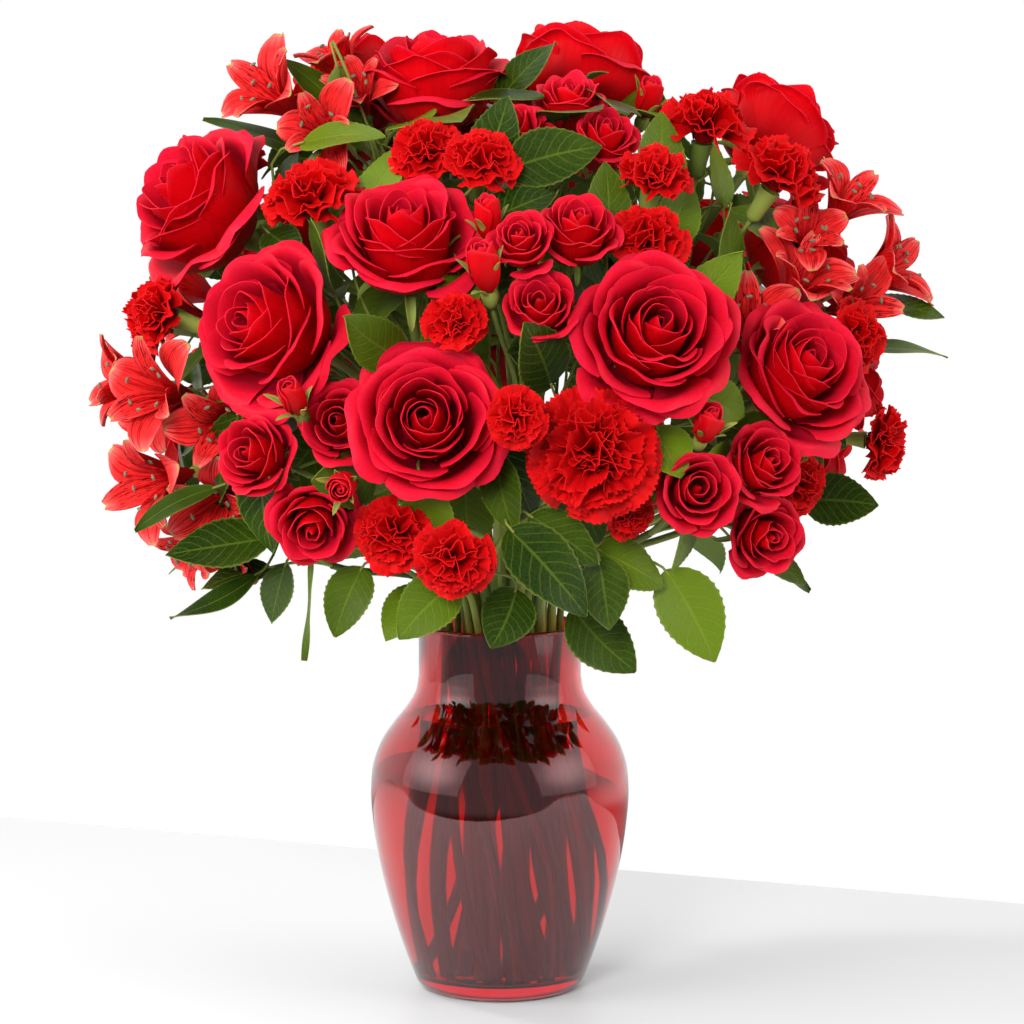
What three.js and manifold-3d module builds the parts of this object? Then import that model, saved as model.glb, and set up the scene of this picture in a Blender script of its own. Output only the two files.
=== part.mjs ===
// A full bouquet of roses, spray roses, carnations and alstroemeria, with its foliage, in a vase of water.
// Millimetres, +Z up. The origin is the centre of the vase's underside, and -Y is the front.
//
// Flower heads sit on a dome around domeCentre. A place on the dome is [azimuth, elevation, reach]: degrees
// from the front (-Y), positive towards +X, degrees above the horizontal, and the distance from domeCentre.
// A direction is [azimuth, elevation]. Each head is a closed cup, and its flat top faces where it blooms.
import * as THREE from "three";
import { mergeVertices } from "three/addons/utils/BufferGeometryUtils.js";
import Module from "manifold-3d";

const wasm = await Module();
wasm.setup();

// ---- Driving dimensions ----
const gap = 0.3; // between pieces that touch

const vaseHeight = 200;
const bellyRadius = 70;
const bellyHeight = vaseHeight * 0.55;
const neckRadius = 44;
const neckHeight = vaseHeight - 28; // where the shoulder has become the straight neck
const heelRadius = neckRadius + 2; // where the rounded heel turns into the wall
const footRadius = heelRadius - 8; // flat underside
const heelHeight = 5;
const glassWall = 3.2;
const glassFloor = 9;
const waterLevel = vaseHeight - 50;

const domeCentreHeight = vaseHeight + 125;

const roseRadius = 34;
const carnationRadius = 33;
const miniCarnationRadius = 20.5;
const sprayRoseRadius = 19.5;
const budRadius = 9;
const alstroemeriaRadius = 21;

const roseStemRadius = 2.8;
const carnationStemRadius = 2.4;
const sprayStemRadius = 2.1;
const alstroemeriaStemRadius = 2.4;
const foliageStemRadius = 2;
const branchRadius = 1.2;
const petioleRadius = 0.9;
const leafThickness = 1;

const stemSpacing = 2 * roseStemRadius + 2.4; // between stem centres in the neck
const rimClearance = 3.5; // from the glass to a stem's surface, so that stems clear the lip
const rimRise = 10; // stems stay straight to this height over the rim
const footClearance = 2; // from the glass floor to the cut ends
const bundleTwist = 62; // degrees that the bundle turns from the neck to the floor
const bundleSpread = 1.08; // how much wider the bundle is at the floor than in the neck
const pourGap = { x: 0, y: 27, radius: 9.5 }; // room left at the back of the neck to pour water in

const domeCentre = new THREE.Vector3(0, 0, domeCentreHeight);
// Reaches are given for these radii, and the dome grows with whichever kind of flower grows most.
const domeScale = Math.max(
  roseRadius / 34,
  carnationRadius / 33,
  miniCarnationRadius / 20.5,
  sprayRoseRadius / 19.5,
  alstroemeriaRadius / 21,
);

// ---- Places and directions ----
function direction(azimuth, elevation) {
  const a = THREE.MathUtils.degToRad(azimuth);
  const e = THREE.MathUtils.degToRad(elevation);
  return new THREE.Vector3(Math.sin(a) * Math.cos(e), -Math.cos(a) * Math.cos(e), Math.sin(e));
}

function place([azimuth, elevation, reach]) {
  return direction(azimuth, elevation).multiplyScalar(reach * domeScale).add(domeCentre);
}

// ---- Flower heads ----
// A profile is radius and height pairs from the bottom of the calyx, in shares of the head's radius, and
// middle is the height that stands at the head's place on the dome.
const roseCup = {
  profile: [[0.14, 0], [0.6, 0.25], [0.92, 0.62], [1, 1], [0.94, 1.32], [0.7, 1.52]],
  middle: 0.84,
  sides: 10,
};
const carnationCup = {
  profile: [[0.14, 0], [0.32, 0.3], [0.36, 0.85], [1, 1.42], [0.96, 1.7], [0.74, 1.92]],
  middle: 1.42,
  sides: 7,
};
const sprayRoseCup = {
  profile: [[0.16, 0], [0.7, 0.35], [1, 1], [0.94, 1.42], [0.66, 1.72]],
  middle: 0.95,
  sides: 7,
};
const budCup = {
  profile: [[0.24, 0], [0.92, 0.7], [1, 1.6], [0.5, 2.9]],
  middle: 1.4,
  sides: 7,
};
const alstroemeriaCup = {
  profile: [[0.12, 0], [0.24, 0.5], [0.52, 1.15], [1, 1.95]],
  middle: 1.4,
  sides: 7,
};

const flowers = {
  rose: { cup: roseCup, radius: roseRadius },
  carnation: { cup: carnationCup, radius: carnationRadius },
  miniCarnation: { cup: carnationCup, radius: miniCarnationRadius },
  sprayRose: { cup: sprayRoseCup, radius: sprayRoseRadius },
  bud: { cup: budCup, radius: budRadius },
  alstroemeria: { cup: alstroemeriaCup, radius: alstroemeriaRadius },
};

// A head: what it is, its place on the dome, the direction it faces, and its size beside its kind's radius.
function head(kind, at, facing, size = 1) {
  const { cup, radius } = flowers[kind];
  const faces = direction(...facing);
  const base = place(at).addScaledVector(faces, -cup.middle * radius * size);
  return { cup, radius: radius * size, faces, base, at };
}

function headGeometry({ cup, radius }) {
  const rings = cup.profile.map(([r, z]) => new THREE.Vector2(r * radius, z * radius));
  const low = new THREE.Vector2(0, rings[0].y);
  const high = new THREE.Vector2(0, rings.at(-1).y);
  const geometry = new THREE.LatheGeometry([low, ...rings, high], cup.sides);
  return geometry.rotateX(Math.PI / 2); // the lathe's axis is Y, and a head's own axis is Z
}

const headTurn = (faces) =>
  new THREE.Quaternion().setFromUnitVectors(new THREE.Vector3(0, 0, 1), faces);

// ---- Solids ----
function solidOf(geometry) {
  const bare = geometry.clone();
  bare.deleteAttribute("normal");
  bare.deleteAttribute("uv");
  const merged = mergeVertices(bare, 1e-3);
  return new wasm.Manifold(
    new wasm.Mesh({
      numProp: 3,
      vertProperties: new Float32Array(merged.attributes.position.array),
      triVerts: new Uint32Array(merged.index.array),
    }),
  );
}

function geometryOf(solid) {
  const made = solid.getMesh();
  const geometry = new THREE.BufferGeometry();
  geometry.setAttribute("position", new THREE.BufferAttribute(made.vertProperties, 3));
  geometry.setIndex(new THREE.BufferAttribute(made.triVerts, 1));
  geometry.computeVertexNormals();
  return geometry;
}

const joined = (solids) => solids.reduce((all, one) => all.add(one));

// Stalks that cross near a fork can shut a small hollow between them, which this fills.
const filled = (solid) => joined(solid.decompose().filter((body) => body.volume() > 0));

// A round bar along a curve, closed at both ends.
function bar(curve, radius, sides, steps) {
  const section = new THREE.Shape();
  for (let i = 0; i < sides; i++) {
    const angle = (2 * Math.PI * i) / sides;
    section[i ? "lineTo" : "moveTo"](radius * Math.cos(angle), radius * Math.sin(angle));
  }
  section.closePath();
  return new THREE.ExtrudeGeometry(section, { steps, extrudePath: curve, bevelEnabled: false });
}

// ---- Leaves ----
// A leaf is a flat plate: where its middle is, the direction its tip points, the direction its upper face
// looks, its length and its width. Its petiole joins it to its stem.
const leaf = (at, points, looks, length, width) => ({ at, points, looks, length, width });

const leafOutline = [[0, 0], [0.4, 0.2], [0.5, 0.42], [0.32, 0.76], [0, 1]];

function leafFrame({ at, points, looks }) {
  const along = direction(...points);
  const up = direction(...looks);
  up.addScaledVector(along, -up.dot(along)).normalize();
  const across = new THREE.Vector3().crossVectors(along, up);
  return { along, up, across, middle: place(at) };
}

const leafBase = (one) =>
  leafFrame(one).middle.addScaledVector(leafFrame(one).along, -one.length / 2);

function leafSolid(one) {
  const right = leafOutline.map(([x, y]) => [x * one.width, (y - 0.5) * one.length]);
  const left = right.slice(1, -1).reverse().map(([x, y]) => [-x, y]);
  const shape = new THREE.Shape([...right, ...left].map(([x, y]) => new THREE.Vector2(x, y)));
  const plate = new THREE.ExtrudeGeometry(shape, { depth: leafThickness, bevelEnabled: false });
  const { along, up, across, middle } = leafFrame(one);
  const frame = new THREE.Matrix4().makeBasis(across, along, up).setPosition(middle);
  return solidOf(plate.translate(0, 0, -leafThickness / 2).applyMatrix4(frame));
}

// ---- The flowers, stem by stem ----
const roses = [
  head("rose", [-70, 32, 195], [-60, 35], 1.14),
  head("rose", [-62, 77, 171], [0, 82], 1.06),
  head("rose", [-18, 31, 170], [0, 52]),
  head("rose", [-41, 14, 181], [-40, 20], 1.08),
  head("rose", [-11, 0, 178], [0, 18]),
  head("rose", [25, 13, 187], [12, 26], 1.06),
  head("rose", [55, 5.5, 188], [34, 28], 1.02),
  head("rose", [132, 70, 177], [150, 60], 1.12),
  head("rose", [110, 41, 212], [128, 45]),
  head("rose", [92, 25, 178], [80, 30]),
  head("rose", [-114, 61, 184], [-116, 60], 1.04),
  head("rose", [178, 8, 186], [178, 12], 1.15),
  head("rose", [-136, 20, 186], [-136, 24], 1.12),
  head("rose", [140, 20, 186], [140, 24], 1.12),
];

const carnations = [head("carnation", [15, -5, 184], [4, 2])];

const sprayRoses = [
  [
    head("sprayRose", [6, 59, 162], [-20, 50], 0.88),
    head("sprayRose", [34, 67, 167], [5, 62], 0.92),
    head("sprayRose", [32, 53, 169], [20, 50], 0.92),
    head("bud", [84, 63, 174], [30, 60]),
  ],
  [
    head("sprayRose", [15, 31, 177], [10, 48]),
    head("sprayRose", [4, 28, 186], [-10, 38], 0.78),
    head("sprayRose", [7, 18, 179], [-5, 35], 0.88),
    head("bud", [-2, 33, 178], [-10, 70]),
    head("bud", [-2, 23, 188], [-15, 60], 1.2),
  ],
  [
    head("sprayRose", [45, -8, 189], [25, 22]),
    head("sprayRose", [32, -11, 188], [12, 8]),
    head("sprayRose", [50, -20, 187], [25, -5]),
    head("bud", [32, -1, 193], [20, 45]),
  ],
  [
    head("sprayRose", [-40, -6, 189], [-30, 15]),
    head("sprayRose", [-27, -1, 171], [-5, 15]),
    head("sprayRose", [-32, -17, 181], [-4, -15], 1.05),
    head("bud", [-31, 3, 194], [-20, 45]),
    head("bud", [-23, -9, 197], [-10, -5]),
  ],
  [
    head("sprayRose", [-112, -8, 188], [-105, 0], 1.15),
    head("sprayRose", [-128, -14, 188], [-125, -8], 1.15),
    head("sprayRose", [-147, -8, 188], [-145, 5], 1.15),
    head("bud", [-122, 2, 193], [-120, 30]),
  ],
  [
    head("sprayRose", [164, 34, 182], [160, 45], 1.15),
    head("sprayRose", [-179, 33, 182], [-179, 46], 1.05),
    head("sprayRose", [158, 52, 178], [160, 60], 1.15),
    head("bud", [172, 47, 184], [172, 60]),
  ],
  [
    head("sprayRose", [96, 0, 192], [95, 12], 1.15),
    head("sprayRose", [110, -10, 190], [108, 0], 1.15),
    head("sprayRose", [126, -14, 190], [126, -4], 1.15),
    head("bud", [118, 2, 193], [118, 30]),
  ],
];

const miniCarnations = [
  [
    head("miniCarnation", [-41, 37, 179], [-30, 65]),
    head("miniCarnation", [-20, 51, 170], [-15, 52]),
    head("miniCarnation", [-4, 46, 178], [12, 52]),
  ],
  [
    head("miniCarnation", [35, 41, 183], [30, 62]),
    head("miniCarnation", [62, 50, 188], [30, 72]),
    head("miniCarnation", [62, 36, 202], [60, 55]),
    head("miniCarnation", [29, 30, 178], [12, 42]),
  ],
  [
    head("miniCarnation", [-7, 16, 181], [-10, 38], 0.8),
    head("miniCarnation", [2.5, 1, 199], [-8, 4], 0.76),
  ],
  [
    head("miniCarnation", [-18, -19, 179], [-12, -12]),
    head("miniCarnation", [-7, -21, 193], [-2, -20]),
    head("miniCarnation", [24, -17, 172], [35, -25], 0.68),
  ],
  [
    head("miniCarnation", [-69, 14, 196], [-68, 20]),
    head("miniCarnation", [-93, 12, 190], [-92, 15], 1.12),
    head("miniCarnation", [-101, 36, 187], [-100, 42], 1.12),
  ],
  [
    head("miniCarnation", [70, 10, 202], [60, 8]),
    head("miniCarnation", [75, -6, 208], [75, -5], 0.8),
    head("miniCarnation", [61, -13, 181], [50, -5], 0.72),
  ],
  [
    head("miniCarnation", [-162, 30, 182], [-160, 38], 1.12),
    head("miniCarnation", [-168, 52, 177], [-168, 58], 1.12),
    head("miniCarnation", [-144, 45, 182], [-144, 50], 1.08),
  ],
  [
    head("miniCarnation", [157, -14, 186], [157, -8], 1.12),
    head("miniCarnation", [174, -20, 185], [172, -15], 1.12),
    head("miniCarnation", [-168, -16, 184], [-168, -8], 1.12),
  ],
];

const alstroemerias = [
  [
    head("alstroemeria", [-73, 52, 201], [-50, 34]),
    head("alstroemeria", [-84, 64, 196], [-70, 62], 0.8),
  ],
  [
    head("alstroemeria", [-64, 2, 194], [-38, 8], 1.06),
    head("alstroemeria", [-68, -12, 195], [-46, -8], 1.06),
    head("alstroemeria", [-84, 2, 200], [-78, 6], 0.95),
    head("alstroemeria", [-75, -25, 184], [-58, -30], 0.8),
  ],
  [
    head("alstroemeria", [75, 29, 213], [50, 50], 0.85),
    head("alstroemeria", [83, 18, 217], [72, 25]),
    head("alstroemeria", [64, 20, 184], [40, 50]),
  ],
  [
    head("alstroemeria", [-112, 16, 193], [-112, 22], 0.9),
    head("alstroemeria", [-160, 6, 192], [-158, 10], 0.9),
  ],
];

// The leaves on each alstroemeria stem, in the same order as the stems.
const alstroemeriaLeaves = [
  [
    leaf([-86, 60, 182], [-88, 42], [-10, 40], 62, 19),
    leaf([-92, 47, 186], [-90, 20], [-20, 60], 66, 16),
  ],
  [leaf([-60, -30, 196], [-78, -24], [-30, 40], 52, 14)],
  [leaf([88, 6, 216], [88, -4], [60, 60], 50, 15)],
  [leaf([-142, 2, 206], [-142, 12], [-142, 80], 50, 15)],
];

const foliage = [
  [
    leaf([8, -23, 190], [73, -46], [4, 34], 58, 33),
    leaf([20, -30, 178], [60, -80], [10, 6], 37, 26),
    leaf([25, -43, 172], [80, -42], [10, 30], 46, 33),
    leaf([39, -34, 186], [80, -62], [12, 14], 53, 35),
    leaf([27, -28, 166], [100, -30], [10, 40], 40, 28),
  ],
  [
    leaf([-13, -31, 186], [-72, -42], [-8, 26], 40, 30),
    leaf([1, -36, 174], [-50, -58], [0, 24], 33, 28),
    leaf([-31, -33, 176], [-60, -66], [-16, 18], 38, 26),
    leaf([-22, -38, 166], [-50, -50], [-20, 30], 34, 24),
    leaf([-36, -31, 190], [-30, -82], [-60, 6], 54, 8),
  ],
  [
    leaf([-52, -21, 194], [-82, -8], [-40, 34], 54, 32),
    leaf([-56, -14, 204], [-72, -26], [-20, 44], 48, 15),
    leaf([-64, -31, 178], [-84, -16], [-50, 36], 38, 22),
    leaf([-50, -33, 176], [-60, -74], [-46, 8], 32, 24),
  ],
  [
    leaf([80, -17, 192], [86, -4], [40, 20], 40, 30),
    leaf([84, 12, 222], [86, -14], [40, 52], 40, 21),
    leaf([62, -27, 180], [74, -34], [50, 30], 42, 26),
    leaf([84, -32, 176], [92, -30], [70, 40], 44, 28),
  ],
  [
    leaf([-86, -28, 180], [-90, -30], [-80, 44], 46, 28),
    leaf([-112, -30, 180], [-114, -36], [-110, 40], 46, 30),
    leaf([-136, -32, 176], [-134, -42], [-136, 34], 48, 30),
    leaf([-158, -34, 176], [-160, -48], [-158, 30], 46, 30),
  ],
  [
    leaf([108, -31, 178], [106, -34], [108, 44], 48, 30),
    leaf([130, -33, 176], [132, -40], [130, 38], 46, 30),
    leaf([152, -35, 174], [150, -46], [152, 32], 48, 30),
    leaf([176, -38, 172], [176, -54], [176, 26], 44, 28),
  ],
];

// ---- The vase ----
// The wall's outer outline, from the heel up to the lip: one curve up to the belly, one over the shoulder.
function vaseOutline() {
  const heel = new THREE.Vector2(heelRadius, heelHeight);
  const belly = new THREE.Vector2(bellyRadius, bellyHeight);
  const neck = new THREE.Vector2(neckRadius, neckHeight);
  const rise = bellyHeight - heelHeight;
  const shoulder = neckHeight - bellyHeight;
  const lower = new THREE.CubicBezierCurve(
    heel,
    new THREE.Vector2(heelRadius + 0.54 * (bellyRadius - heelRadius), heelHeight + 0.31 * rise),
    new THREE.Vector2(bellyRadius, bellyHeight - 0.31 * rise),
    belly,
  );
  const upper = new THREE.CubicBezierCurve(
    belly,
    new THREE.Vector2(bellyRadius, bellyHeight + 0.58 * shoulder),
    new THREE.Vector2(neckRadius, neckHeight - 0.36 * shoulder),
    neck,
  );
  return [...lower.getPoints(5), ...upper.getPoints(6).slice(1)];
}

// The wall's inner radius at a height, on the outline's straight stretches.
function innerRadius(height) {
  const outline = [...vaseOutline(), new THREE.Vector2(neckRadius, vaseHeight)];
  const above = outline.findIndex((point) => point.y >= height);
  const high = outline[above];
  const low = outline[above - 1];
  const share = (height - low.y) / (high.y - low.y);
  return low.x + share * (high.x - low.x) - glassWall;
}

const latheSides = 28;

function vaseGeometry() {
  const outer = vaseOutline();
  const inner = outer
    .filter((point) => point.y > glassFloor + 1)
    .map((point) => new THREE.Vector2(point.x - glassWall, point.y))
    .reverse();
  const lip = [
    new THREE.Vector2(neckRadius, vaseHeight - glassWall / 3),
    new THREE.Vector2(neckRadius - glassWall / 3, vaseHeight),
    new THREE.Vector2(neckRadius - (2 * glassWall) / 3, vaseHeight),
    new THREE.Vector2(neckRadius - glassWall, vaseHeight - glassWall / 3),
  ];
  const floor = [
    new THREE.Vector2(innerRadius(glassFloor + 1) - 3, glassFloor),
    new THREE.Vector2(0, glassFloor),
  ];
  const under = [new THREE.Vector2(0, 0), new THREE.Vector2(footRadius, 0)];
  const profile = [...under, ...outer, ...lip, ...inner, ...floor];
  return new THREE.LatheGeometry(profile, latheSides).rotateX(Math.PI / 2);
}

// The water fills the vase to its level and leaves room round every stem.
function waterSolid(stemsInWater) {
  const bottom = glassFloor + gap;
  const inside = vaseOutline()
    .filter((point) => point.y > glassFloor + 1 && point.y < waterLevel - 1)
    .map((point) => new THREE.Vector2(point.x - glassWall - gap, point.y));
  const profile = [
    new THREE.Vector2(0, bottom),
    new THREE.Vector2(innerRadius(glassFloor + 1) - 3 - gap, bottom),
    ...inside,
    new THREE.Vector2(innerRadius(waterLevel) - gap, waterLevel),
    new THREE.Vector2(0, waterLevel),
  ];
  const full = new THREE.LatheGeometry(profile, latheSides).rotateX(Math.PI / 2);
  return solidOf(full).subtract(joined(stemsInWater));
}

// ---- Stems ----
const stemFloor = glassFloor + footClearance;

// Every cut stem, with the middle of what it carries, which decides where it stands in the neck.
const middleOf = (points) =>
  points.reduce((sum, point) => sum.add(point), new THREE.Vector3()).divideScalar(points.length);

const stems = [];
function addStem(name, radius, heads, leaves = []) {
  const carried = [...heads.map((one) => place(one.at)), ...leaves.map((one) => place(one.at))];
  stems.push({ name, radius, heads, leaves, middle: middleOf(carried) });
}
roses.forEach((one, i) => addStem(`rose_stem_${i + 1}`, roseStemRadius, [one]));
carnations.forEach((one, i) => addStem(`carnation_stem_${i + 1}`, carnationStemRadius, [one]));
sprayRoses.forEach((heads, i) => addStem(`spray_rose_${i + 1}`, sprayStemRadius, heads));
miniCarnations.forEach((heads, i) => addStem(`mini_carnation_${i + 1}`, sprayStemRadius, heads));
alstroemerias.forEach((heads, i) =>
  addStem(`alstroemeria_${i + 1}`, alstroemeriaStemRadius, heads, alstroemeriaLeaves[i]),
);
foliage.forEach((leaves, i) => addStem(`foliage_${i + 1}`, foliageStemRadius, [], leaves));

// Where each stem passes the neck. A stem starts on the side its flowers are on, further out the lower they
// are. The stems are then eased apart to stemSpacing, clear of the glass and of the pouring gap.
function setNeckPlaces() {
  const room = neckRadius - glassWall - rimClearance - roseStemRadius;
  for (const stem of stems) {
    const away = stem.middle.clone().sub(domeCentre).normalize();
    const out = room * Math.sqrt(Math.min(1, (1 - away.z) / 1.4));
    const flat = new THREE.Vector2(away.x, away.y).normalize();
    stem.neck = flat.multiplyScalar(out);
  }
  for (let round = 0; round < 600; round++) {
    for (const [i, one] of stems.entries()) {
      for (const other of stems.slice(i + 1)) {
        const apart = other.neck.clone().sub(one.neck);
        const short = stemSpacing - apart.length();
        if (short > 0) {
          apart.setLength(short / 2);
          one.neck.sub(apart);
          other.neck.add(apart);
        }
      }
      const fromGap = one.neck.clone().sub(new THREE.Vector2(pourGap.x, pourGap.y));
      const clear = pourGap.radius + one.radius + 0.5;
      if (fromGap.length() < clear) one.neck.add(fromGap.setLength(clear - fromGap.length()));
      if (one.neck.length() > room) one.neck.setLength(room);
    }
  }
}
setNeckPlaces();

const neckPoint = ({ neck }) => new THREE.Vector3(neck.x, neck.y, vaseHeight + rimRise);

function footPoint({ neck }) {
  const turn = THREE.MathUtils.degToRad(bundleTwist);
  const foot = neck.clone().rotateAround(new THREE.Vector2(), turn).multiplyScalar(bundleSpread);
  return new THREE.Vector3(foot.x, foot.y, stemFloor);
}

// A curve that leaves one point along one direction and arrives at another along a second.
function bend(from, leaving, to, arriving, start = 0.35, end = 0.35) {
  const span = from.distanceTo(to);
  return new THREE.CubicBezierCurve3(
    from,
    from.clone().addScaledVector(leaving, start * span),
    to.clone().addScaledVector(arriving, -end * span),
    to,
  );
}

// The stem's own direction where it leaves the neck.
const risesAlong = (stem) => neckPoint(stem).sub(footPoint(stem)).normalize();

function barSolid(curve, radius, sides, steps) {
  return solidOf(bar(curve, radius, sides, steps));
}

// A stem from its cut foot through the neck to a point above.
function stemSolid(stem, to, arriving) {
  const lower = new THREE.LineCurve3(footPoint(stem), neckPoint(stem));
  const upper = bend(neckPoint(stem), risesAlong(stem), to, arriving);
  const whole = new THREE.CurvePath();
  whole.add(lower);
  whole.add(upper);
  const steps = Math.round(whole.getLength() / 40);
  return barSolid(whole, stem.radius, 5, steps);
}

// Where a branching stem forks: most of the way from the neck to the middle of what it carries.
function forkPoint(stem) {
  const bases = [...stem.heads.map((one) => one.base), ...stem.leaves.map(leafBase)];
  return neckPoint(stem).lerp(middleOf(bases), 0.62);
}

function branchingStem(stem) {
  const fork = forkPoint(stem);
  const rises = fork.clone().sub(neckPoint(stem)).normalize();
  const solids = [stemSolid(stem, fork.clone().addScaledVector(rises, branchRadius), rises)];
  for (const one of stem.heads) {
    const into = one.base.clone().addScaledVector(one.faces, one.radius * 0.12);
    solids.push(barSolid(bend(fork, rises, into, one.faces), branchRadius, 4, 2));
    const turned = headGeometry(one).applyQuaternion(headTurn(one.faces));
    solids.push(solidOf(turned.translate(one.base.x, one.base.y, one.base.z)));
  }
  for (const one of stem.leaves) {
    const { along } = leafFrame(one);
    const into = leafBase(one).addScaledVector(along, one.length * 0.12);
    solids.push(barSolid(bend(fork, rises, into, along), petioleRadius, 4, 3));
    solids.push(leafSolid(one));
  }
  return filled(joined(solids));
}

// ---- Materials ----
const surface = (color, roughness = 0.6) =>
  new THREE.MeshStandardMaterial({ color, roughness, metalness: 0 });

const rubyGlass = surface(0x8e0a16, 0.04);
const water = surface(0xe8f2f4, 0.02);
const rosePetal = surface(0xb80a1c, 0.55);
const carnationPetal = surface(0xc80c10, 0.62);
const sprayPetal = surface(0xbe0c20, 0.55);
const alstroemeriaPetal = surface(0xc8201c, 0.5);
const stemGreen = surface(0x4c7a2a, 0.5);
const leafGreen = surface(0x3c7018, 0.42);

// ---- The bouquet ----
const bouquet = new THREE.Group();

function addMesh(name, geometry, material) {
  const mesh = new THREE.Mesh(geometry, material);
  mesh.name = name;
  bouquet.add(mesh);
  return mesh;
}

function addBloom(name, one, material) {
  const mesh = addMesh(name, headGeometry(one), material);
  mesh.position.copy(one.base);
  mesh.quaternion.copy(headTurn(one.faces));
}

addMesh("vase", vaseGeometry(), rubyGlass);
roses.forEach((one, i) => addBloom(`rose_bloom_${i + 1}`, one, rosePetal));
carnations.forEach((one, i) => addBloom(`carnation_bloom_${i + 1}`, one, carnationPetal));

const lookOf = (name) => {
  if (name.startsWith("spray")) return sprayPetal;
  if (name.startsWith("mini")) return carnationPetal;
  if (name.startsWith("alstroemeria")) return alstroemeriaPetal;
  return leafGreen;
};

for (const stem of stems) {
  if (stem.heads.length === 1) {
    const [one] = stem.heads;
    const end = one.base.clone().addScaledVector(one.faces, -gap - 0.2);
    addMesh(stem.name, geometryOf(stemSolid(stem, end, one.faces)), stemGreen);
  } else {
    addMesh(stem.name, geometryOf(branchingStem(stem)), lookOf(stem.name));
  }
}

const sleeves = stems.map((stem) => {
  const foot = footPoint(stem);
  const rises = risesAlong(stem);
  const route = new THREE.LineCurve3(
    foot.addScaledVector(rises, -gap),
    neckPoint(stem),
  );
  return barSolid(route, (stem.radius + gap) / Math.cos(Math.PI / 5), 5, 1);
});
addMesh("water", geometryOf(waterSolid(sleeves)), water);

export default bouquet;
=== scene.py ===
"""A bouquet of red roses, spray roses, carnations and alstroemeria in a red glass vase of water.

Metres, +Z up, -Y towards the front. Every flower and leaf takes its place, its direction and its size from
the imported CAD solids: a flower head's flat top says where its bloom faces, and a leaf's plate how it lies.
"""
import math

import bmesh
import bpy
import numpy as np
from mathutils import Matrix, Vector


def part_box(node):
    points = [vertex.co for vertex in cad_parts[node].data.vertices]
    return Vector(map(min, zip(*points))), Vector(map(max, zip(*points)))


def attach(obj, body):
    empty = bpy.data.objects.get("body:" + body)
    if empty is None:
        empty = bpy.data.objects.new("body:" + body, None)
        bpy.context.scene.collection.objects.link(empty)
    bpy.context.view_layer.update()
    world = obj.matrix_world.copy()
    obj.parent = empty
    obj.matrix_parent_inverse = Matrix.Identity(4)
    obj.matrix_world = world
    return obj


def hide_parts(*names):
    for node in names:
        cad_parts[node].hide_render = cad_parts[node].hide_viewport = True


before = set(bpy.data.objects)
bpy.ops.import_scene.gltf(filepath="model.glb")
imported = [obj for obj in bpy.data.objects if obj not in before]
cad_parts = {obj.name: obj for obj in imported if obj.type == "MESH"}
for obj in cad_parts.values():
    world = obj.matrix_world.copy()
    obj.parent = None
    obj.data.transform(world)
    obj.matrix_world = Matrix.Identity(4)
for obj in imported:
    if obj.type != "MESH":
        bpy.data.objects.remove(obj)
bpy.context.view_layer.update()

MM = 0.001
GOLDEN_ANGLE = math.pi * (3 - math.sqrt(5))
UP = np.array([0.0, 0.0, 1.0])
VASE_HIGH = np.array(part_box("vase")[1])
GLASS_WALL = 3.2 * MM
GLASS_FLOOR = 9 * MM
WATER_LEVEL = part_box("water")[1].z
RIM_RISE = 10 * MM  # the stems stay straight to this height over the rim
DOME_CENTRE = np.array([0.0, 0.0, VASE_HIGH[2] + 125 * MM])


# ---------------------------------------------------------------- reading the CAD solids


def unit(vectors):
    """Vectors scaled to length one along the last axis."""
    return vectors / np.maximum(np.linalg.norm(vectors, axis=-1, keepdims=True), 1e-12)


def triangles(node):
    """A CAD node's triangles, as (triangle, corner, xyz)."""
    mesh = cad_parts[node].data
    mesh.calc_loop_triangles()
    places = np.empty(len(mesh.vertices) * 3)
    mesh.vertices.foreach_get("co", places)
    corners = np.empty(len(mesh.loop_triangles) * 3, int)
    mesh.loop_triangles.foreach_get("vertices", corners)
    return places.reshape(-1, 3)[corners].reshape(-1, 3, 3)


def crossed_edges(corners):
    """The cross product of two edges of each triangle: along its normal, and twice its area long."""
    return np.cross(corners[:, 1] - corners[:, 0], corners[:, 2] - corners[:, 0])


class Face:
    """A flat face of a solid: the triangles in one plane, with their normal, area, middle and corners."""

    def __init__(self, corners, normal):
        self.normal = normal
        sizes = np.linalg.norm(crossed_edges(corners), axis=1)
        self.area = sizes.sum() / 2
        self.middle = (corners.mean(1) * sizes[:, None]).sum(0) / sizes.sum()
        self.points = np.unique(np.round(corners.reshape(-1, 3), 6), axis=0)

    def round_radius(self):
        """The radius of the outline if it is a regular polygon of at least seven sides, and otherwise 0."""
        reach = np.linalg.norm(self.points - self.middle, axis=1)
        rim = reach[reach > reach.max() / 2]
        if len(rim) not in (7, 10) or np.ptp(rim) > 0.04 * rim.mean():
            return 0.0
        whole = len(rim) / 2 * rim.mean() ** 2 * math.sin(2 * math.pi / len(rim))
        return rim.mean() if abs(self.area / whole - 1) < 0.06 else 0.0


def flat_faces(corners):
    """The flat faces of a solid. Two triangles share a plane when their unit normals and offsets agree."""
    normals = unit(crossed_edges(corners))
    offsets = (normals * corners[:, 0]).sum(1, keepdims=True)
    planes = np.hstack([normals, offsets * 10])
    left = np.ones(len(planes), bool)
    faces = []
    while left.any():
        first = left.argmax()
        same = left & (np.abs(planes - planes[first]).max(1) < 2e-3)
        faces.append(Face(corners[same], normals[first]))
        left &= ~same
    return faces


# A head's flat top and its height, in shares of its radius, for each kind of head.
CAPS = {
    "rose": (0.70, 1.52),
    "carnation": (0.74, 1.92),
    "spray": (0.66, 1.72),
    "bud": (0.50, 2.90),
    "alstroemeria": (1.00, 1.95),
}
SMALLEST_CAP = 4 * MM
LARGEST_BUD_CAP = 7.5 * MM
DEEPEST_HEAD = 80 * MM


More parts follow.
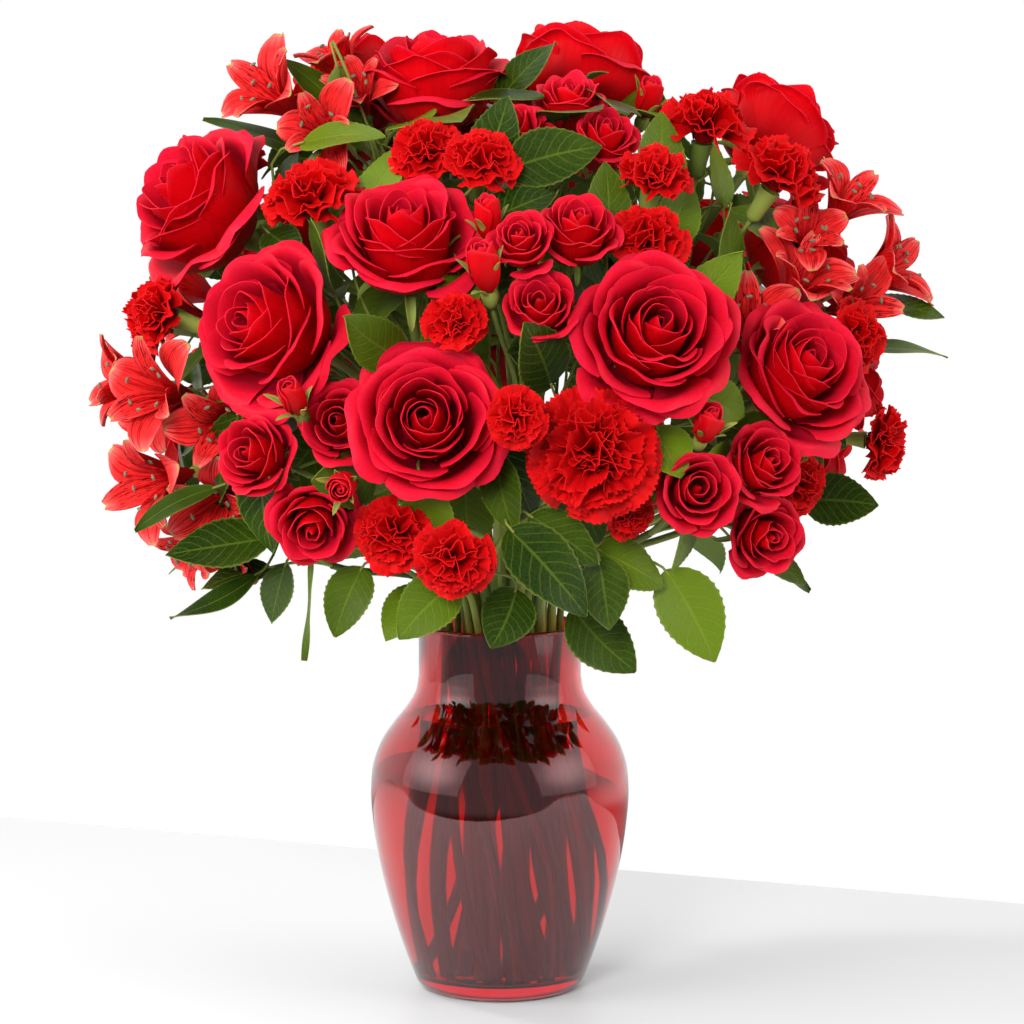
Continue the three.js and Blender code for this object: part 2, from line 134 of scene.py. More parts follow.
class Head:
    """A flower head: its kind, the point under its calyx, the direction that it faces, and its radius."""

    def __init__(self, kind, face, cap):
        share, height = CAPS[kind]
        self.kind = kind
        self.faces = face.normal
        self.radius = cap / share
        self.base = face.middle - face.normal * self.radius * height
        self.middle = face.middle - face.normal * self.radius * height * 0.35


def head_kind(node, cap):
    """What a head is, from its node's name and the size of its flat top."""
    if node.startswith("rose"):
        return "rose"
    if node.startswith("spray"):
        return "bud" if cap < LARGEST_BUD_CAP else "spray"
    return "alstroemeria" if node.startswith("alstroemeria") else "carnation"


def heads_of(node, faces):
    """The heads of a node: a regular polygon is a flat top, unless a larger one faces away behind it."""
    tops = [(face, face.round_radius()) for face in faces]
    found = []
    for face, cap in tops:
        larger_behind = any(
            other.normal @ face.normal < -0.99 and size > cap
            and np.linalg.norm(other.middle - face.middle) < DEEPEST_HEAD
            for other, size in tops
        )
        if cap > SMALLEST_CAP and not larger_behind:
            found.append(Head(head_kind(node, cap), face, cap))
    return found


SMALLEST_LEAF = 140 * MM * MM
LEAF_PLATE = 1.6 * MM  # more than a plate's thickness
LEAF_SHIFT = 5 * MM  # more than the distance between the middles of a plate's two sides
NARROW_LEAF = 0.36  # the width of a narrow leaf is a smaller share of its length


class Leaf:
    """A leaf: the place where its stalk meets it, its axes, length and width. A narrow one is a lance."""

    def __init__(self, base, along, up, length, width):
        self.base, self.along, self.up = base, along, unit(up - along * (up @ along))
        self.across = np.cross(self.along, self.up)
        self.length, self.width = length, width
        self.narrow = width < NARROW_LEAF * length


def same_plate(one, other):
    """Whether two faces are the two sides of one leaf."""
    between = one.middle - other.middle
    back_to_back = one.normal @ other.normal < -0.99
    return back_to_back and abs(between @ one.normal) < LEAF_PLATE and np.linalg.norm(between) < LEAF_SHIFT


def leaf_on(side):
    """The leaf that a side of its plate shows, along the outline's longest axis, widest near its base."""
    along = np.linalg.svd(side.points - side.points.mean(0))[2][0]
    reach = side.points @ along
    if side.middle @ along > (reach.max() + reach.min()) / 2:
        along, reach = -along, -reach
    outward = unit(side.middle - DOME_CENTRE) + 0.6 * UP + np.array([0, -0.2, 0])
    up = side.normal * np.sign(side.normal @ outward)
    across = np.cross(along, up)
    base = side.middle + along * (reach.min() - side.middle @ along)
    return Leaf(base, along, up, np.ptp(reach), np.ptp(side.points @ across))


def leaves_of(faces):
    """The leaves of a node, from the side of each plate that has fewer corners."""
    sides = [f for f in faces if f.area > SMALLEST_LEAF and len(f.points) >= 7 and not f.round_radius()]
    found = []
    for i, one in enumerate(sides):
        for other in sides[i + 1:]:
            if same_plate(one, other):
                found.append(leaf_on(one if len(one.points) <= len(other.points) else other))
    return found


def slice_centre(corners, height):
    """The middle and the radius of the outline where a level plane cuts a solid."""
    ahead = np.roll(corners, -1, axis=1)
    above, above_ahead = corners[..., 2] - height, ahead[..., 2] - height
    crossing = above * above_ahead < 0
    share = above[crossing] / (above[crossing] - above_ahead[crossing])
    points = corners[crossing] + share[:, None] * (ahead[crossing] - corners[crossing])
    middle = points.mean(0)
    return middle, np.linalg.norm(points - middle, axis=1).max()


def number_of(node):
    """The number at the end of a node's name."""
    return int(node.rsplit("_", 1)[1])


def seeded(node):
    """A random source of the node's own, the same each time."""
    return np.random.default_rng(sum(ord(letter) * (i + 7) for i, letter in enumerate(node)))


IN_THE_WATER = (30 * MM, 140 * MM)  # two heights between which every stem is straight
CLUMPS = 7
BOW, BOW_SPREAD = 9, 2.5  # how far a stem bows in the water, in millimetres


class Stem:
    """A cut stem: its foot, the place where it leaves the neck, its direction there, and its radius."""

    def __init__(self, node, corners):
        low, self.radius = slice_centre(corners, IN_THE_WATER[0])
        high, _ = slice_centre(corners, IN_THE_WATER[1])
        self.node = node
        self.rises = unit(high - low)
        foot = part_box(node)[0].z
        self.foot = low + self.rises * (foot - low[2]) / self.rises[2]
        self.neck = low + self.rises * (VASE_HIGH[2] + RIM_RISE - low[2]) / self.rises[2]
        rng = seeded(node)
        clump = rng.integers(0, CLUMPS) * 2 * math.pi / CLUMPS
        toward_clump = np.array([math.cos(clump), math.sin(clump), 0.0])
        self.bow = toward_clump * BOW * MM + rng.normal(0, BOW_SPREAD, 3) * [MM, MM, 0]


# ---------------------------------------------------------------- meshes


def smooth(x):
    """A ramp from 0 to 1 that starts and ends level."""
    x = np.clip(x, 0, 1)
    return x * x * (3 - 2 * x)


def bezier(points, v):
    """A cubic Bezier curve's points: the four control points weighted by the Bernstein polynomials of v."""
    weights = np.stack([(1 - v) ** 3, 3 * v * (1 - v) ** 2, 3 * v * v * (1 - v), v ** 3], axis=-1)
    return weights @ np.asarray(points)


def grid_faces(rows, columns):
    """Quads of a grid of points that run row by row, turned so that across x along points out."""
    corner = (np.arange(rows - 1)[:, None] * columns + np.arange(columns - 1)).ravel()
    return np.stack([corner, corner + 1, corner + columns + 1, corner + columns], axis=1)


SHARP_ANGLE = math.radians(62)


class Piece:
    """A mesh put together from closed shells, with a UV (across, along) and three traits at each point."""

    def __init__(self):
        self.points, self.faces, self.uvs, self.traits, self.count = [], [], [], [], 0

    def add(self, points, faces, uvs, traits):
        """Adds shapes of one build: their points (shape, point, xyz), and the faces of one of them."""
        shapes, size = points.shape[:2]
        shift = self.count + size * np.arange(shapes)[:, None, None]
        self.points.append(points.reshape(-1, 3))
        self.faces.append((faces[None] + shift).reshape(-1, 4))
        self.uvs.append(np.broadcast_to(uvs, (shapes, size, 2)).reshape(-1, 2))
        self.traits.append(np.broadcast_to(traits, (shapes, size, 3)).reshape(-1, 3))
        self.count += shapes * size

    def shells(self, surfaces, thickness, tint, inner):
        """Thin closed shells about grids of points (shape, row, column, xyz).

        Each grid is doubled, half the thickness to each side along its own normal, and a strip closes
        the edge. The traits are its tint, 1 on the upper side and 0 on the lower, and how far in it sits.
        """
        shapes, rows, columns = surfaces.shape[:3]
        across = np.gradient(surfaces, axis=2)
        along = np.gradient(surfaces, axis=1)
        lift = unit(np.cross(across, along)) * thickness / 2
        points = np.stack([surfaces + lift, surfaces - lift], axis=1).reshape(shapes, -1, 3)
        size = rows * columns
        top = grid_faces(rows, columns)
        index = np.arange(size).reshape(rows, columns)
        edge = np.concatenate([index[0], index[1:, -1], index[-1, -2::-1], index[-2:0:-1, 0]])
        ahead = np.roll(edge, -1)
        strip = np.stack([ahead, edge, edge + size, ahead + size], axis=1)
        faces = np.concatenate([top, top[:, ::-1] + size, strip])
        u, v = np.meshgrid(np.linspace(0, 1, columns), np.linspace(0, 1, rows))
        uvs = np.tile(np.stack([u, v], axis=-1).reshape(-1, 2), (2, 1))
        traits = np.empty((shapes, 2 * size, 3))
        traits[..., 0] = np.reshape(tint, (-1, 1))
        traits[..., 1] = np.repeat([1.0, 0.0], size)
        traits[..., 2] = np.reshape(inner, (-1, 1))
        self.add(points, faces, uvs, traits)

    def tube(self, path, radii, sides=8, tint=0.5):
        """A round bar along a path: a ring at each point, square to it, and both ends drawn to a point.

        The rings are turned from one fixed direction, square to the plane that the path bends in.
        """
        path = np.asarray(path)
        tangents = unit(np.gradient(path, axis=0))
        chord = unit(path[-1] - path[0])
        bulge = path[len(path) // 2] - (path[0] + path[-1]) / 2
        bulge = bulge - chord * (bulge @ chord)
        if np.linalg.norm(bulge) < 1e-5:
            bulge = np.cross(chord, [0.31, 0.95, 0.05])
        binormal = unit(np.cross(chord, bulge))
        side = unit(binormal - tangents * (tangents @ binormal)[:, None])
        other = np.cross(tangents, side)
        turn = np.linspace(0, 2 * math.pi, sides + 1)[:-1]
        radii = np.broadcast_to(radii, len(path))
        rings = path[:, None] + radii[:, None, None] * (
            side[:, None] * np.cos(turn)[:, None] + other[:, None] * np.sin(turn)[:, None]
        )
        rings = np.concatenate([path[:1, None].repeat(sides, 1), rings, path[-1:, None].repeat(sides, 1)])
        self.rings(rings, tint)

    def rings(self, rings, tint):
        """Closed rings of points, one after another. The first and last are each a point, or they meet."""
        rows, sides = rings.shape[:2]
        index = np.arange(rows * sides).reshape(rows, sides)
        ahead = np.roll(index, -1, axis=1)
        faces = np.stack([index[:-1], ahead[:-1], ahead[1:], index[1:]], axis=-1).reshape(-1, 4)
        u, v = np.meshgrid(np.arange(sides) / sides, np.linspace(0, 1, rows))
        uvs = np.stack([u, v], axis=-1).reshape(-1, 2)
        self.add(rings.reshape(1, -1, 3), faces, uvs, np.array([tint, 1.0, 0.0]))

    def lathe(self, profile, axes, origin, sides=10, tint=0.5):
        """A profile of radius and height, turned about the third of three axes."""
        profile = np.asarray(profile)
        turn = np.linspace(0, 2 * math.pi, sides + 1)[:-1]
        ring = np.cos(turn)[:, None] * axes[0] + np.sin(turn)[:, None] * axes[1]
        rings = origin + profile[:, :1, None] * ring + profile[:, 1:, None] * axes[2]
        self.rings(rings, tint)

    def finish(self, name, material, slot, *nodes):
        """Makes the mesh's object, which rides on the one body and stands for its CAD nodes."""
        mesh = bpy.data.meshes.new(name)
        mesh.from_pydata(np.concatenate(self.points), [], np.concatenate(self.faces))
        corners = np.empty(len(mesh.loops), int)
        mesh.loops.foreach_get("vertex_index", corners)
        uv = mesh.uv_layers.new(name="UVMap")
        uv.data.foreach_set("uv", np.concatenate(self.uvs)[corners].ravel())
        trait = mesh.attributes.new("trait", "FLOAT_VECTOR", "POINT")
        trait.data.foreach_set("vector", np.concatenate(self.traits).ravel())
        weld(mesh)
        mesh.shade_smooth()
        mesh.set_sharp_from_angle(angle=SHARP_ANGLE)
        mesh.materials.append(material)
        made = bpy.data.objects.new(name, mesh)
        bpy.context.collection.objects.link(made)
        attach(made, "root")
        if nodes:
            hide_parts(*nodes)


def weld(mesh):
    """Merges points that fall together, such as the ring at a pole, and drops faces with no area left."""
    work = bmesh.new()
    work.from_mesh(mesh)
    bmesh.ops.remove_doubles(work, verts=work.verts, dist=1e-7)
    work.to_mesh(mesh)
    work.free()


def axes_facing(direction, spin):
    """Three axes as rows: two square to a direction, turned about it by spin, and the direction itself."""
    helper = np.array([0.0, 0.0, 1.0]) if abs(direction[2]) < 0.9 else np.array([0.0, 1.0, 0.0])
    first = unit(np.cross(helper, direction))
    second = np.cross(direction, first)
    return np.array([
        first * math.cos(spin) + second * math.sin(spin),
        second * math.cos(spin) - first * math.sin(spin),
        direction,
    ])


# ---------------------------------------------------------------- petals

# A rose petal's side view at five stages, from the tight middle to a guard petal that hangs. Each row is a
# control point's distance from the axis, in shares of the radius, or its height.
STAGES = [0, 0.3, 0.62, 1.0, 1.3]
SIDE_RADIUS = [[0.04, 0.05, 0.08, 0.09, 0.10], [0.26, 0.48, 0.84, 1.08, 1.06],
               [0.20, 0.34, 0.48, 0.70, 0.98], [0.03, 0.33, 0.74, 1.06, 1.27]]
SIDE_HEIGHT = [[0.15, 0.13, 0.10, 0.08, 0.06], [0.5, 0.32, 0.24, 0.16, 0.12],
               [1.05, 1.12, 1.18, 1.22, 1.08], [1.42, 1.50, 1.40, 1.04, 0.56]]
SIDE_TOP = 1.52
WRAP_STAGES, WRAP = [0, 0.15, 0.4, 0.75, 1.0, 1.3], [2.5, 1.7, 1.15, 0.92, 0.84, 0.66]


def grid_of(rows, columns):
    """Where a petal's points lie across it, from -1 to 1, and along it, from 0 to 1."""
    return np.linspace(-1, 1, columns)[None, None], np.linspace(0, 1, rows)[None, :, None]


def about_axis(out, across, high, angle):
    """Points at distances out from the axis and across, turned about the axis by an angle."""
    x = out * np.cos(angle) - across * np.sin(angle)
    y = out * np.sin(angle) + across * np.cos(angle)
    return np.stack([x, y, high + 0 * x], axis=-1)


def rose_petals(radius, height, stages, rng, rows, columns):
    """A rose's petals in its own frame, as (petal, row, column, xyz), one for each stage t.

    Petal k of the spiral stands at k golden angles, from the tight middle (t = 0) to the outside (t = 1),
    and guard petals hang lower still (t > 1). Its side view is a cubic curve whose control points open
    with t: upright and closed in the middle, then bellied, and at the outside rolled back over its own lip.
    Across, it wraps the axis by an angle that shrinks as t grows. The sides of its rim sit lower than its
    tip and roll outwards, which leaves the tip pointed, and the rim carries a slow wave.
    """
    count = len(stages)
    t = np.asarray(stages)
    wobble = rng.normal(0, 1, (8, count, 1, 1))
    swell = [np.interp(t, STAGES, row) for row in SIDE_RADIUS]
    rise = [np.interp(t, STAGES, row) for row in SIDE_HEIGHT]
    wrap = np.interp(t, WRAP_STAGES, WRAP)[:, None, None]
    t = t[:, None, None]
    u, v = grid_of(rows, columns)
    reach = v * (1 - (0.15 + 0.12 * np.minimum(t, 1)) * np.abs(u) ** 2.2)
    weights = [(1 - reach) ** 3, 3 * reach * (1 - reach) ** 2, 3 * reach ** 2 * (1 - reach), reach ** 3]
    out = sum(w * s[:, None, None] for w, s in zip(weights, swell))
    high = sum(w * s[:, None, None] for w, s in zip(weights, rise))
    open_rim = np.clip((t - 0.08) / 0.8, 0, 1.2)
    side = np.abs(u)
    out = out * (1 + 0.26 * u * (1 - np.minimum(t, 1)) ** 3)
    out = out - 0.08 * u * u * open_rim * np.sin(math.pi * np.clip(reach * 1.15, 0, 1))
    roll = open_rim ** 1.2 * side ** 2.2 * reach ** 4
    out = out + (0.22 + 0.07 * wobble[5]) * roll
    high = high - (0.24 + 0.05 * wobble[6]) * roll
    high = high + 0.07 * open_rim * (1 - side) ** 2 * reach ** 5
    wave = reach ** 3 * (0.2 + open_rim)
    out = out + 0.032 * wave * np.sin(3.1 * u + 2 * wobble[0])
    out = out + 0.016 * wave * np.sin(7.3 * u + 3 * wobble[1])
    high = high + 0.030 * wave * np.sin(3.9 * u + 2 * wobble[2])
    high = high * (1 + 0.035 * wobble[7] * (0.2 + t))
    tilt = math.radians(4.5) * wobble[3] * (0.3 + t)
    turn, drop = np.cos(tilt), 0.7 * np.sin(tilt)
    out, high = out * turn + high * drop, high * turn - out * drop
    shape = 0.32 + 0.68 * np.sin(math.pi / 2 * np.clip(reach / 0.72, 0, 1))
    shape = shape * (1 - 0.24 * smooth((reach - 0.70) / 0.30))
    place = np.arange(count)[:, None, None] * GOLDEN_ANGLE + 0.16 * wobble[4]
    angle = place + u * wrap * shape
    out = radius * np.maximum(out, 0.01)
    drift = 0.05 * radius * rng.normal(0, 1, (2, 1, 1, 1)) * np.clip(1 - t, 0, 1) * reach
    return np.stack([out * np.cos(angle) + drift[0], out * np.sin(angle) + drift[1],
                     height * high / SIDE_TOP + 0 * angle], axis=-1)


CARNATION_CALYX = 0.80  # its height, as a share of the flower's radius


def carnation_petals(radius, count, rng, rows, columns):
    """A carnation's petals in its own frame, as (petal, row, column, xyz).

    Petal k stands at k golden angles and leans from upright in the middle to level at the outside. Its
    middle line climbs out of the calyx and bends over to that lean. It widens like a fan, its rim is a flat
    arc cut into teeth, and it is thrown into folds that deepen towards the rim: deep and quick in the
    crumpled middle, and shallow on the broad outer petals.
    """
    k = np.linspace(0.02, 1, count)[:, None, None]
    wobble = rng.normal(0, 1, (6, count, 1, 1))
    phase = rng.uniform(0, 2 * math.pi, (4, count, 1, 1))
    u, v = grid_of(rows, columns)
    lean = np.radians(4 + 92 * k ** 0.8 + 6 * wobble[0])
    bent = lean * smooth(v * 1.5)
    step = 1 / (rows - 1)
    line_out = np.cumsum(np.sin(bent), axis=1) * step
    line_up = np.cumsum(np.cos(bent), axis=1) * step
    length = radius * (0.98 + 0.06 * k) * (1 + 0.06 * wobble[1])
    notch = 0.03 + 0.03 * rng.random((count, 1, columns))
    teeth = 1 - notch * (np.arange(columns) % 2)[None, None] * (v > 0.99)
    arc = (1 - 0.24 * u * u) * teeth
    fan = radius * (0.07 + (0.42 + 0.16 * k) * v ** 1.35)
    folds = radius * v ** 1.6 * (
        (0.17 - 0.09 * k) * np.sin(4.0 * u + phase[0]) + (0.11 - 0.075 * k) * np.sin(8.6 * u + phase[1]) * v
        + 0.026 * np.sin(17 * u + phase[2]) * v * v
    )
    twist = np.radians(30) * wobble[2] * v * (1.1 - k)
    across = fan * u * np.cos(twist) * 0.92
    lift = folds + fan * u * np.sin(twist)
    start = radius * 0.20 * k
    out = start + length * line_out * arc - lift * np.cos(bent)
    high = radius * CARNATION_CALYX + length * line_up * arc + lift * np.sin(bent)
    place = np.arange(count)[:, None, None] * GOLDEN_ANGLE + 0.15 * wobble[3]
    return about_axis(out, across, high, place)


# Each kind of tepal: its side view's control points, the place of its widest part, and its width there, all
# in shares of the floret's radius.
WIDE_TEPAL = [(0.09, 0.30), (0.20, 1.10), (0.62, 1.90), (1.42, 1.86)], 0.68, 0.50
NARROW_TEPAL = [(0.07, 0.30), (0.16, 1.15), (0.42, 1.90), (1.20, 2.16)], 0.62, 0.31


def alstroemeria_petals(radius, rng, rows, columns, narrow):
    """Three tepals in the flower's own frame: a funnel's side view that flares and turns back at its tip.

    The wide ones are spoon-shaped with a small point, and the narrow ones stand between them.
    """
    wobble = rng.normal(0, 1, (4, 3, 1, 1))
    u, v = grid_of(rows, columns)
    controls, peak, wide = NARROW_TEPAL if narrow else WIDE_TEPAL
    line = bezier(controls, v + 0 * u)
    out, high = line[..., 0], line[..., 1]
    out = out * (1 + 0.09 * wobble[0])
    falling = np.sqrt(np.clip(1 - ((v - peak) / (1.02 - peak)) ** 2, 0, 1)) ** 1.25
    width = 0.035 + wide * np.where(v < peak, smooth(v / peak) ** 0.8, falling)
    cup = 0.34 * width * u * u
    ripple = 0.035 * np.sin(5 * v + 3 * u + wobble[1]) * v
    ripple = ripple + 0.02 * np.sin(11 * v + 2 * wobble[3]) * np.abs(u) * v
    high = high + cup * (1 - 0.4 * v) + ripple
    out = out - cup * v * 0.5
    place = (np.arange(3)[:, None, None] + (0.5 if narrow else 0)) * 2 * math.pi / 3 + 0.08 * wobble[2]
    return radius * about_axis(out, width * u, high, place)


def placed(surfaces, head, spin):
    """A flower's own points, put at its head's base and turned to face where the head faces."""
    return head.base + surfaces @ axes_facing(head.faces, spin)


def add_rose(petals, greens, head, rng):
    """A full rose: its petals, the swelling under it and its sepals."""
    large = head.kind == "rose"
    rows, columns = (17, 17) if large else (12, 12)
    spin = rng.uniform(0, 2 * math.pi)
    height = CAPS[head.kind][1] * head.radius
    middle = np.linspace(0, rng.uniform(0.94, 1.04), 25 if large else 16) ** 0.85
    guards = np.linspace(1.06, 1.30 if large else 1.16, 6 if large else 4)
    stages = np.concatenate([middle, guards])
    surfaces = rose_petals(head.radius, height, stages, rng, rows, columns)
    tints = rng.uniform(0, 1, len(stages))
    # The last trait is how far in each petal sits, which the petal skin darkens as painted shade.
    petals.shells(placed(surfaces, head, spin), 0.45 * MM, tints, 1 - stages / stages[-1])
    add_calyx(greens, head, rng, 0.15 * head.radius, 0.8 * head.radius, math.radians(138))


def add_bud(petals, greens, head, rng):
    """A closed bud: a few petals wrapped close round the middle, in sepals that have begun to part."""
    spin = rng.uniform(0, 2 * math.pi)
    stages = 0.26 * np.linspace(0, 1, 9) ** 0.85
    surfaces = rose_petals(head.radius * 2.15, head.radius * 2.85, stages, rng, 11, 11)
    tints = rng.uniform(0, 1, len(stages))
    # The last trait is how far in each petal sits, which the petal skin darkens as painted shade.
    petals.shells(placed(surfaces, head, spin), 0.5 * MM, tints, 0.8 - stages)
    add_calyx(greens, head, rng, 0.42 * head.radius, 1.9 * head.radius, math.radians(38))


def add_calyx(greens, head, rng, swelling, length, lean):
    """The swelling under a rose and five narrow sepals, which lean away from the axis by an angle."""
    axes = axes_facing(head.faces, rng.uniform(0, 2 * math.pi))
    s = swelling
    profile = [(0, -1.5), (0.55, -1.4), (0.95, -0.6), (1.05, 0.2), (0.9, 0.9), (0, 1.1)]
    greens.lathe(np.array(profile) * s, axes, head.base, 10, rng.uniform(0, 1))
    rows, columns, count = 9, 5, 5
    u, v = grid_of(rows, columns)
    wobble = rng.normal(0, 1, (3, count, 1, 1))
    bent = lean * (0.45 + 0.75 * v) + 0.16 * wobble[0]
    step = length * (1 + 0.1 * wobble[1]) / (rows - 1)
    out = 0.8 * s + np.cumsum(np.sin(bent) * step, axis=1)
    high = 0.4 * s + np.cumsum(np.cos(bent) * step, axis=1)
    width = length * (0.115 * (1 - v) ** 0.7 * (0.6 + 1.4 * v) + 0.004)
    cup = 0.5 * width * u * u
    out = out - cup * np.cos(bent)
    high = high + cup * np.sin(bent)
    place = np.arange(count)[:, None, None] * 2 * math.pi / count + 0.1 * wobble[2]
    own = about_axis(out, width * u, high, place)
    greens.shells(head.base + own @ axes, 0.5 * MM, rng.uniform(0.2, 1, count), 0.0)


SMALLEST_CARNATION = 28 * MM  # smaller ones are spray carnations
WIDEST_OPEN = 1.25
WIDEST_CALYX = 0.8 * 26 * MM


def add_carnation(petals, greens, head, rng):
    """A carnation: ruffled petals out of a long green calyx. A small one opens wider where it has room."""
    large = head.radius > SMALLEST_CARNATION
    count, rows, columns = (48, 10, 27) if large else (27, 8, 21)
    spin = rng.uniform(0, 2 * math.pi)
    others = [other for other in every_head if other is not head]
    room = min(np.linalg.norm(other.middle - head.middle) - other.radius for other in others)
    opened = head.radius if large else np.clip(room, head.radius, WIDEST_OPEN * head.radius)
    surfaces = carnation_petals(opened, count, rng, rows, columns)
    surfaces = surfaces - [0, 0, CARNATION_CALYX * (opened - head.radius)]
    # How far in each petal sits, which the petal skin darkens as painted shade.
    tints, inner = rng.uniform(0, 1, count), np.linspace(1, 0, count)
    petals.shells(placed(surfaces, head, spin), 0.4 * MM, tints, inner)
    r = min(0.8 * head.radius, WIDEST_CALYX)
    lift = CARNATION_CALYX * head.radius
    profile = [(0, -0.05 * r), (0.16 * r, -0.04 * r), (0.26 * r, 0.12 * r),
               (0.27 * r, 0.5 * lift), (0.31 * r, 0.85 * lift), (0.36 * r, 1.12 * lift),
               (0.33 * r, 1.12 * lift), (0.24 * r, 0.9 * lift), (0, 0.86 * lift)]
    greens.lathe(profile, axes_facing(head.faces, spin), head.base, 12, rng.uniform(0, 1))


SECOND_FLORET = 0.88  # its size, as a share of the first one's


def add_alstroemeria(petals, greens, anthers, head, rng):
    """A pair of alstroemeria florets: one on the head's own place, and a smaller one beside it."""
    add_floret(petals, greens, anthers, head.base, head.faces, head.radius, rng)
    beside = unit(np.cross(UP, head.faces))
    beside = beside * (-1 if beside[1] > 0 else 1)
    faces = unit(head.faces + 0.55 * beside - 0.2 * UP)
    base = head.base + head.radius * (0.75 * beside - 0.35 * head.faces - 0.35 * UP)
    add_floret(petals, greens, anthers, base, faces, SECOND_FLORET * head.radius, rng)
    start = base - faces * 14 * MM - beside * 8 * MM
    greens.tube(bend(start, head.faces, base, faces, 8), 1.1 * MM, 6)


def add_floret(petals, greens, anthers, base, faces, r, rng):
    """An alstroemeria floret: three wide tepals, three narrow ones, six curved stamens, and the ovary."""
    axes = axes_facing(faces, rng.uniform(0, 2 * math.pi))
    for narrow in (False, True):
        own = alstroemeria_petals(r, rng, 15, 11, narrow)
        petals.shells(base + own @ axes, 0.45 * MM, rng.uniform(0, 1, 3), 1.0 if narrow else 0.3)
    for i in range(6):
        turn = i * math.pi / 3 + rng.normal(0, 0.15)
        side = axes[0] * math.cos(turn) + axes[1] * math.sin(turn)
        tip = rng.uniform(0.42, 0.62)
        controls = [0.05 * side + 0.35 * axes[2], 0.10 * side + 1.1 * axes[2],
                    0.22 * side + 1.7 * axes[2], tip * side + (1.95 + 0.1 * rng.normal()) * axes[2]]
        path = base + r * bezier(controls, np.linspace(0, 1, 9))
        petals.tube(path, np.linspace(0.55, 0.35, 9) * MM, 6, tint=0.8)
        heading = unit(path[-1] - path[-2])
        long_way = unit(np.cross(heading, side + 0.2 * axes[2]))
        pod = path[-1] + np.linspace(-1.7, 1.7, 7)[:, None] * MM * long_way
        anthers.tube(pod, np.array([0.4, 0.75, 0.9, 0.95, 0.9, 0.75, 0.4]) * MM, 6)
    profile = [(0, -0.05), (0.09, -0.02), (0.15, 0.12), (0.16, 0.28), (0.11, 0.42), (0, 0.46)]
    greens.lathe(np.array(profile) * r, axes, base, 10, rng.uniform(0, 1))


# ---------------------------------------------------------------- leaves and stems

# Painted shade: the leaves' green darkens and lightens in a sine across the bouquet, with these waves and
# this phase.
SHADE_WAVES, SHADE_SHIFT = 40.0, -2.53  # per metre across the bouquet, and at its middle


def add_leaf(leaves, leaf, rng):
    """A leaf as a thin shell.

    Its half-width is v^a (1 - v)^b, so it is widest below the middle and comes to a point. The margin is
    cut into forward teeth, the halves rise from the midrib in a shallow V, the blade arches along its
    length, and its margin waves a little. Its tone drifts from dark to light across the bouquet by a sine,
    which is painted shade and light for how light falls on the leaves, with a random part on top.
    """
    rows, columns = 37, 11
    u = np.linspace(-1, 1, columns)[None]
    v = np.linspace(0, 1, rows)[:, None]
    a, b = (0.85, 0.95) if leaf.narrow else (0.58, 0.88)
    peak = a / (a + b)
    outline = v ** a * (1 - v) ** b / (peak ** a * (1 - peak) ** b)
    if not leaf.narrow:
        outline = outline * (1 + 0.045 * ((np.arange(rows) % 3 == 0)[:, None] - 0.3))
    half = leaf.width / 2 * np.maximum(outline, 0.015)
    arch, wave = rng.normal(0.035, 0.03), rng.normal(0, 1, 3)
    rise = 0.16 * np.abs(u) * half * (1 - 0.6 * v)
    rise = rise - arch * leaf.length * ((2 * v - 1) ** 2 - 0.4)
    rise = rise + 0.022 * leaf.length * u * u * np.sin(6.5 * v + 3 * wave[0]) * np.sign(u + 1e-9)
    rise = rise + 0.010 * leaf.length * u * np.sin(4 * v + 2 * wave[1])
    drift = 0.03 * leaf.length * wave[2] * np.sin(math.pi * v)
    surface = (
        leaf.base + leaf.along * (leaf.length * v)[..., None]
        + leaf.across * (half * u + drift)[..., None] + leaf.up * rise[..., None]
    )
    middle = leaf.base + leaf.along * leaf.length / 2
    # Painted shade and light from the leaf's place across the bouquet, plus a random tone.
    tone_and_shade = 0.5 + 0.5 * math.sin(SHADE_WAVES * middle[0] + SHADE_SHIFT) + 0.2 * rng.normal()
    leaves.shells(surface[None], 0.5 * MM, np.clip(tone_and_shade, 0, 1), 1.0 if leaf.narrow else 0.0)


def bend(start, leaving, end, arriving, count=12, share=0.35):
    """A curve that leaves one point along one direction and reaches another along a second."""
    span = np.linalg.norm(end - start)
    controls = [start, start + leaving * share * span, end - arriving * share * span, end]
    return bezier(controls, np.linspace(0, 1, count))


def stem_path(stem, end, arriving):
    """A stem's middle line: nearly straight from its foot through the neck, and then a bend to its end.

    In the water it bows a little towards one of seven sides, by the square of a sine along its lower part.
    """
    share = np.linspace(0, 1, 13)[:-1, None]
    straight = stem.foot + (stem.neck - stem.foot) * share
    straight = straight + stem.bow * np.sin(math.pi * np.clip((share + 0.12) / 0.85, 0, 1)) ** 2
    return np.concatenate([straight, bend(stem.neck, stem.rises, end, arriving)])


FORK_SHARE = 0.62  # of the way from the neck to the middle of what the stem carries
STALK_SHARE = 0.95  # a stalk's radius, as a share of its CAD solid's
BRANCH_RADIUS, PETIOLE_RADIUS = 1.3 * MM, 0.9 * MM


def add_branches(stalks, stem, tips, blades, branch_radius=BRANCH_RADIUS):
    """A branching stem up to its fork, a stalk to each head at its tips, and a petiole to each leaf."""
    bases = [head.base for head in tips] + [leaf.base for leaf in blades]
    fork = stem.neck + (np.mean(bases, axis=0) - stem.neck) * FORK_SHARE
    heading = unit(fork - stem.neck)
    tint = (sum(map(ord, stem.node)) * 0.37) % 1
    main = stem_path(stem, fork + heading * branch_radius, heading)
    stalks.tube(main, stem.radius * STALK_SHARE, tint=tint)
    for head in tips:
        path = bend(fork, heading, head.base + head.faces * 1 * MM, head.faces)
        stalks.tube(path, np.linspace(branch_radius * 1.25, branch_radius, len(path)))
    for leaf in blades:
        path = bend(fork, heading, leaf.base + leaf.along * 0.06 * leaf.length, leaf.along)
        stalks.tube(path, np.linspace(PETIOLE_RADIUS * 1.3, PETIOLE_RADIUS * 0.7, len(path)), 6)


# ---------------------------------------------------------------- finishes


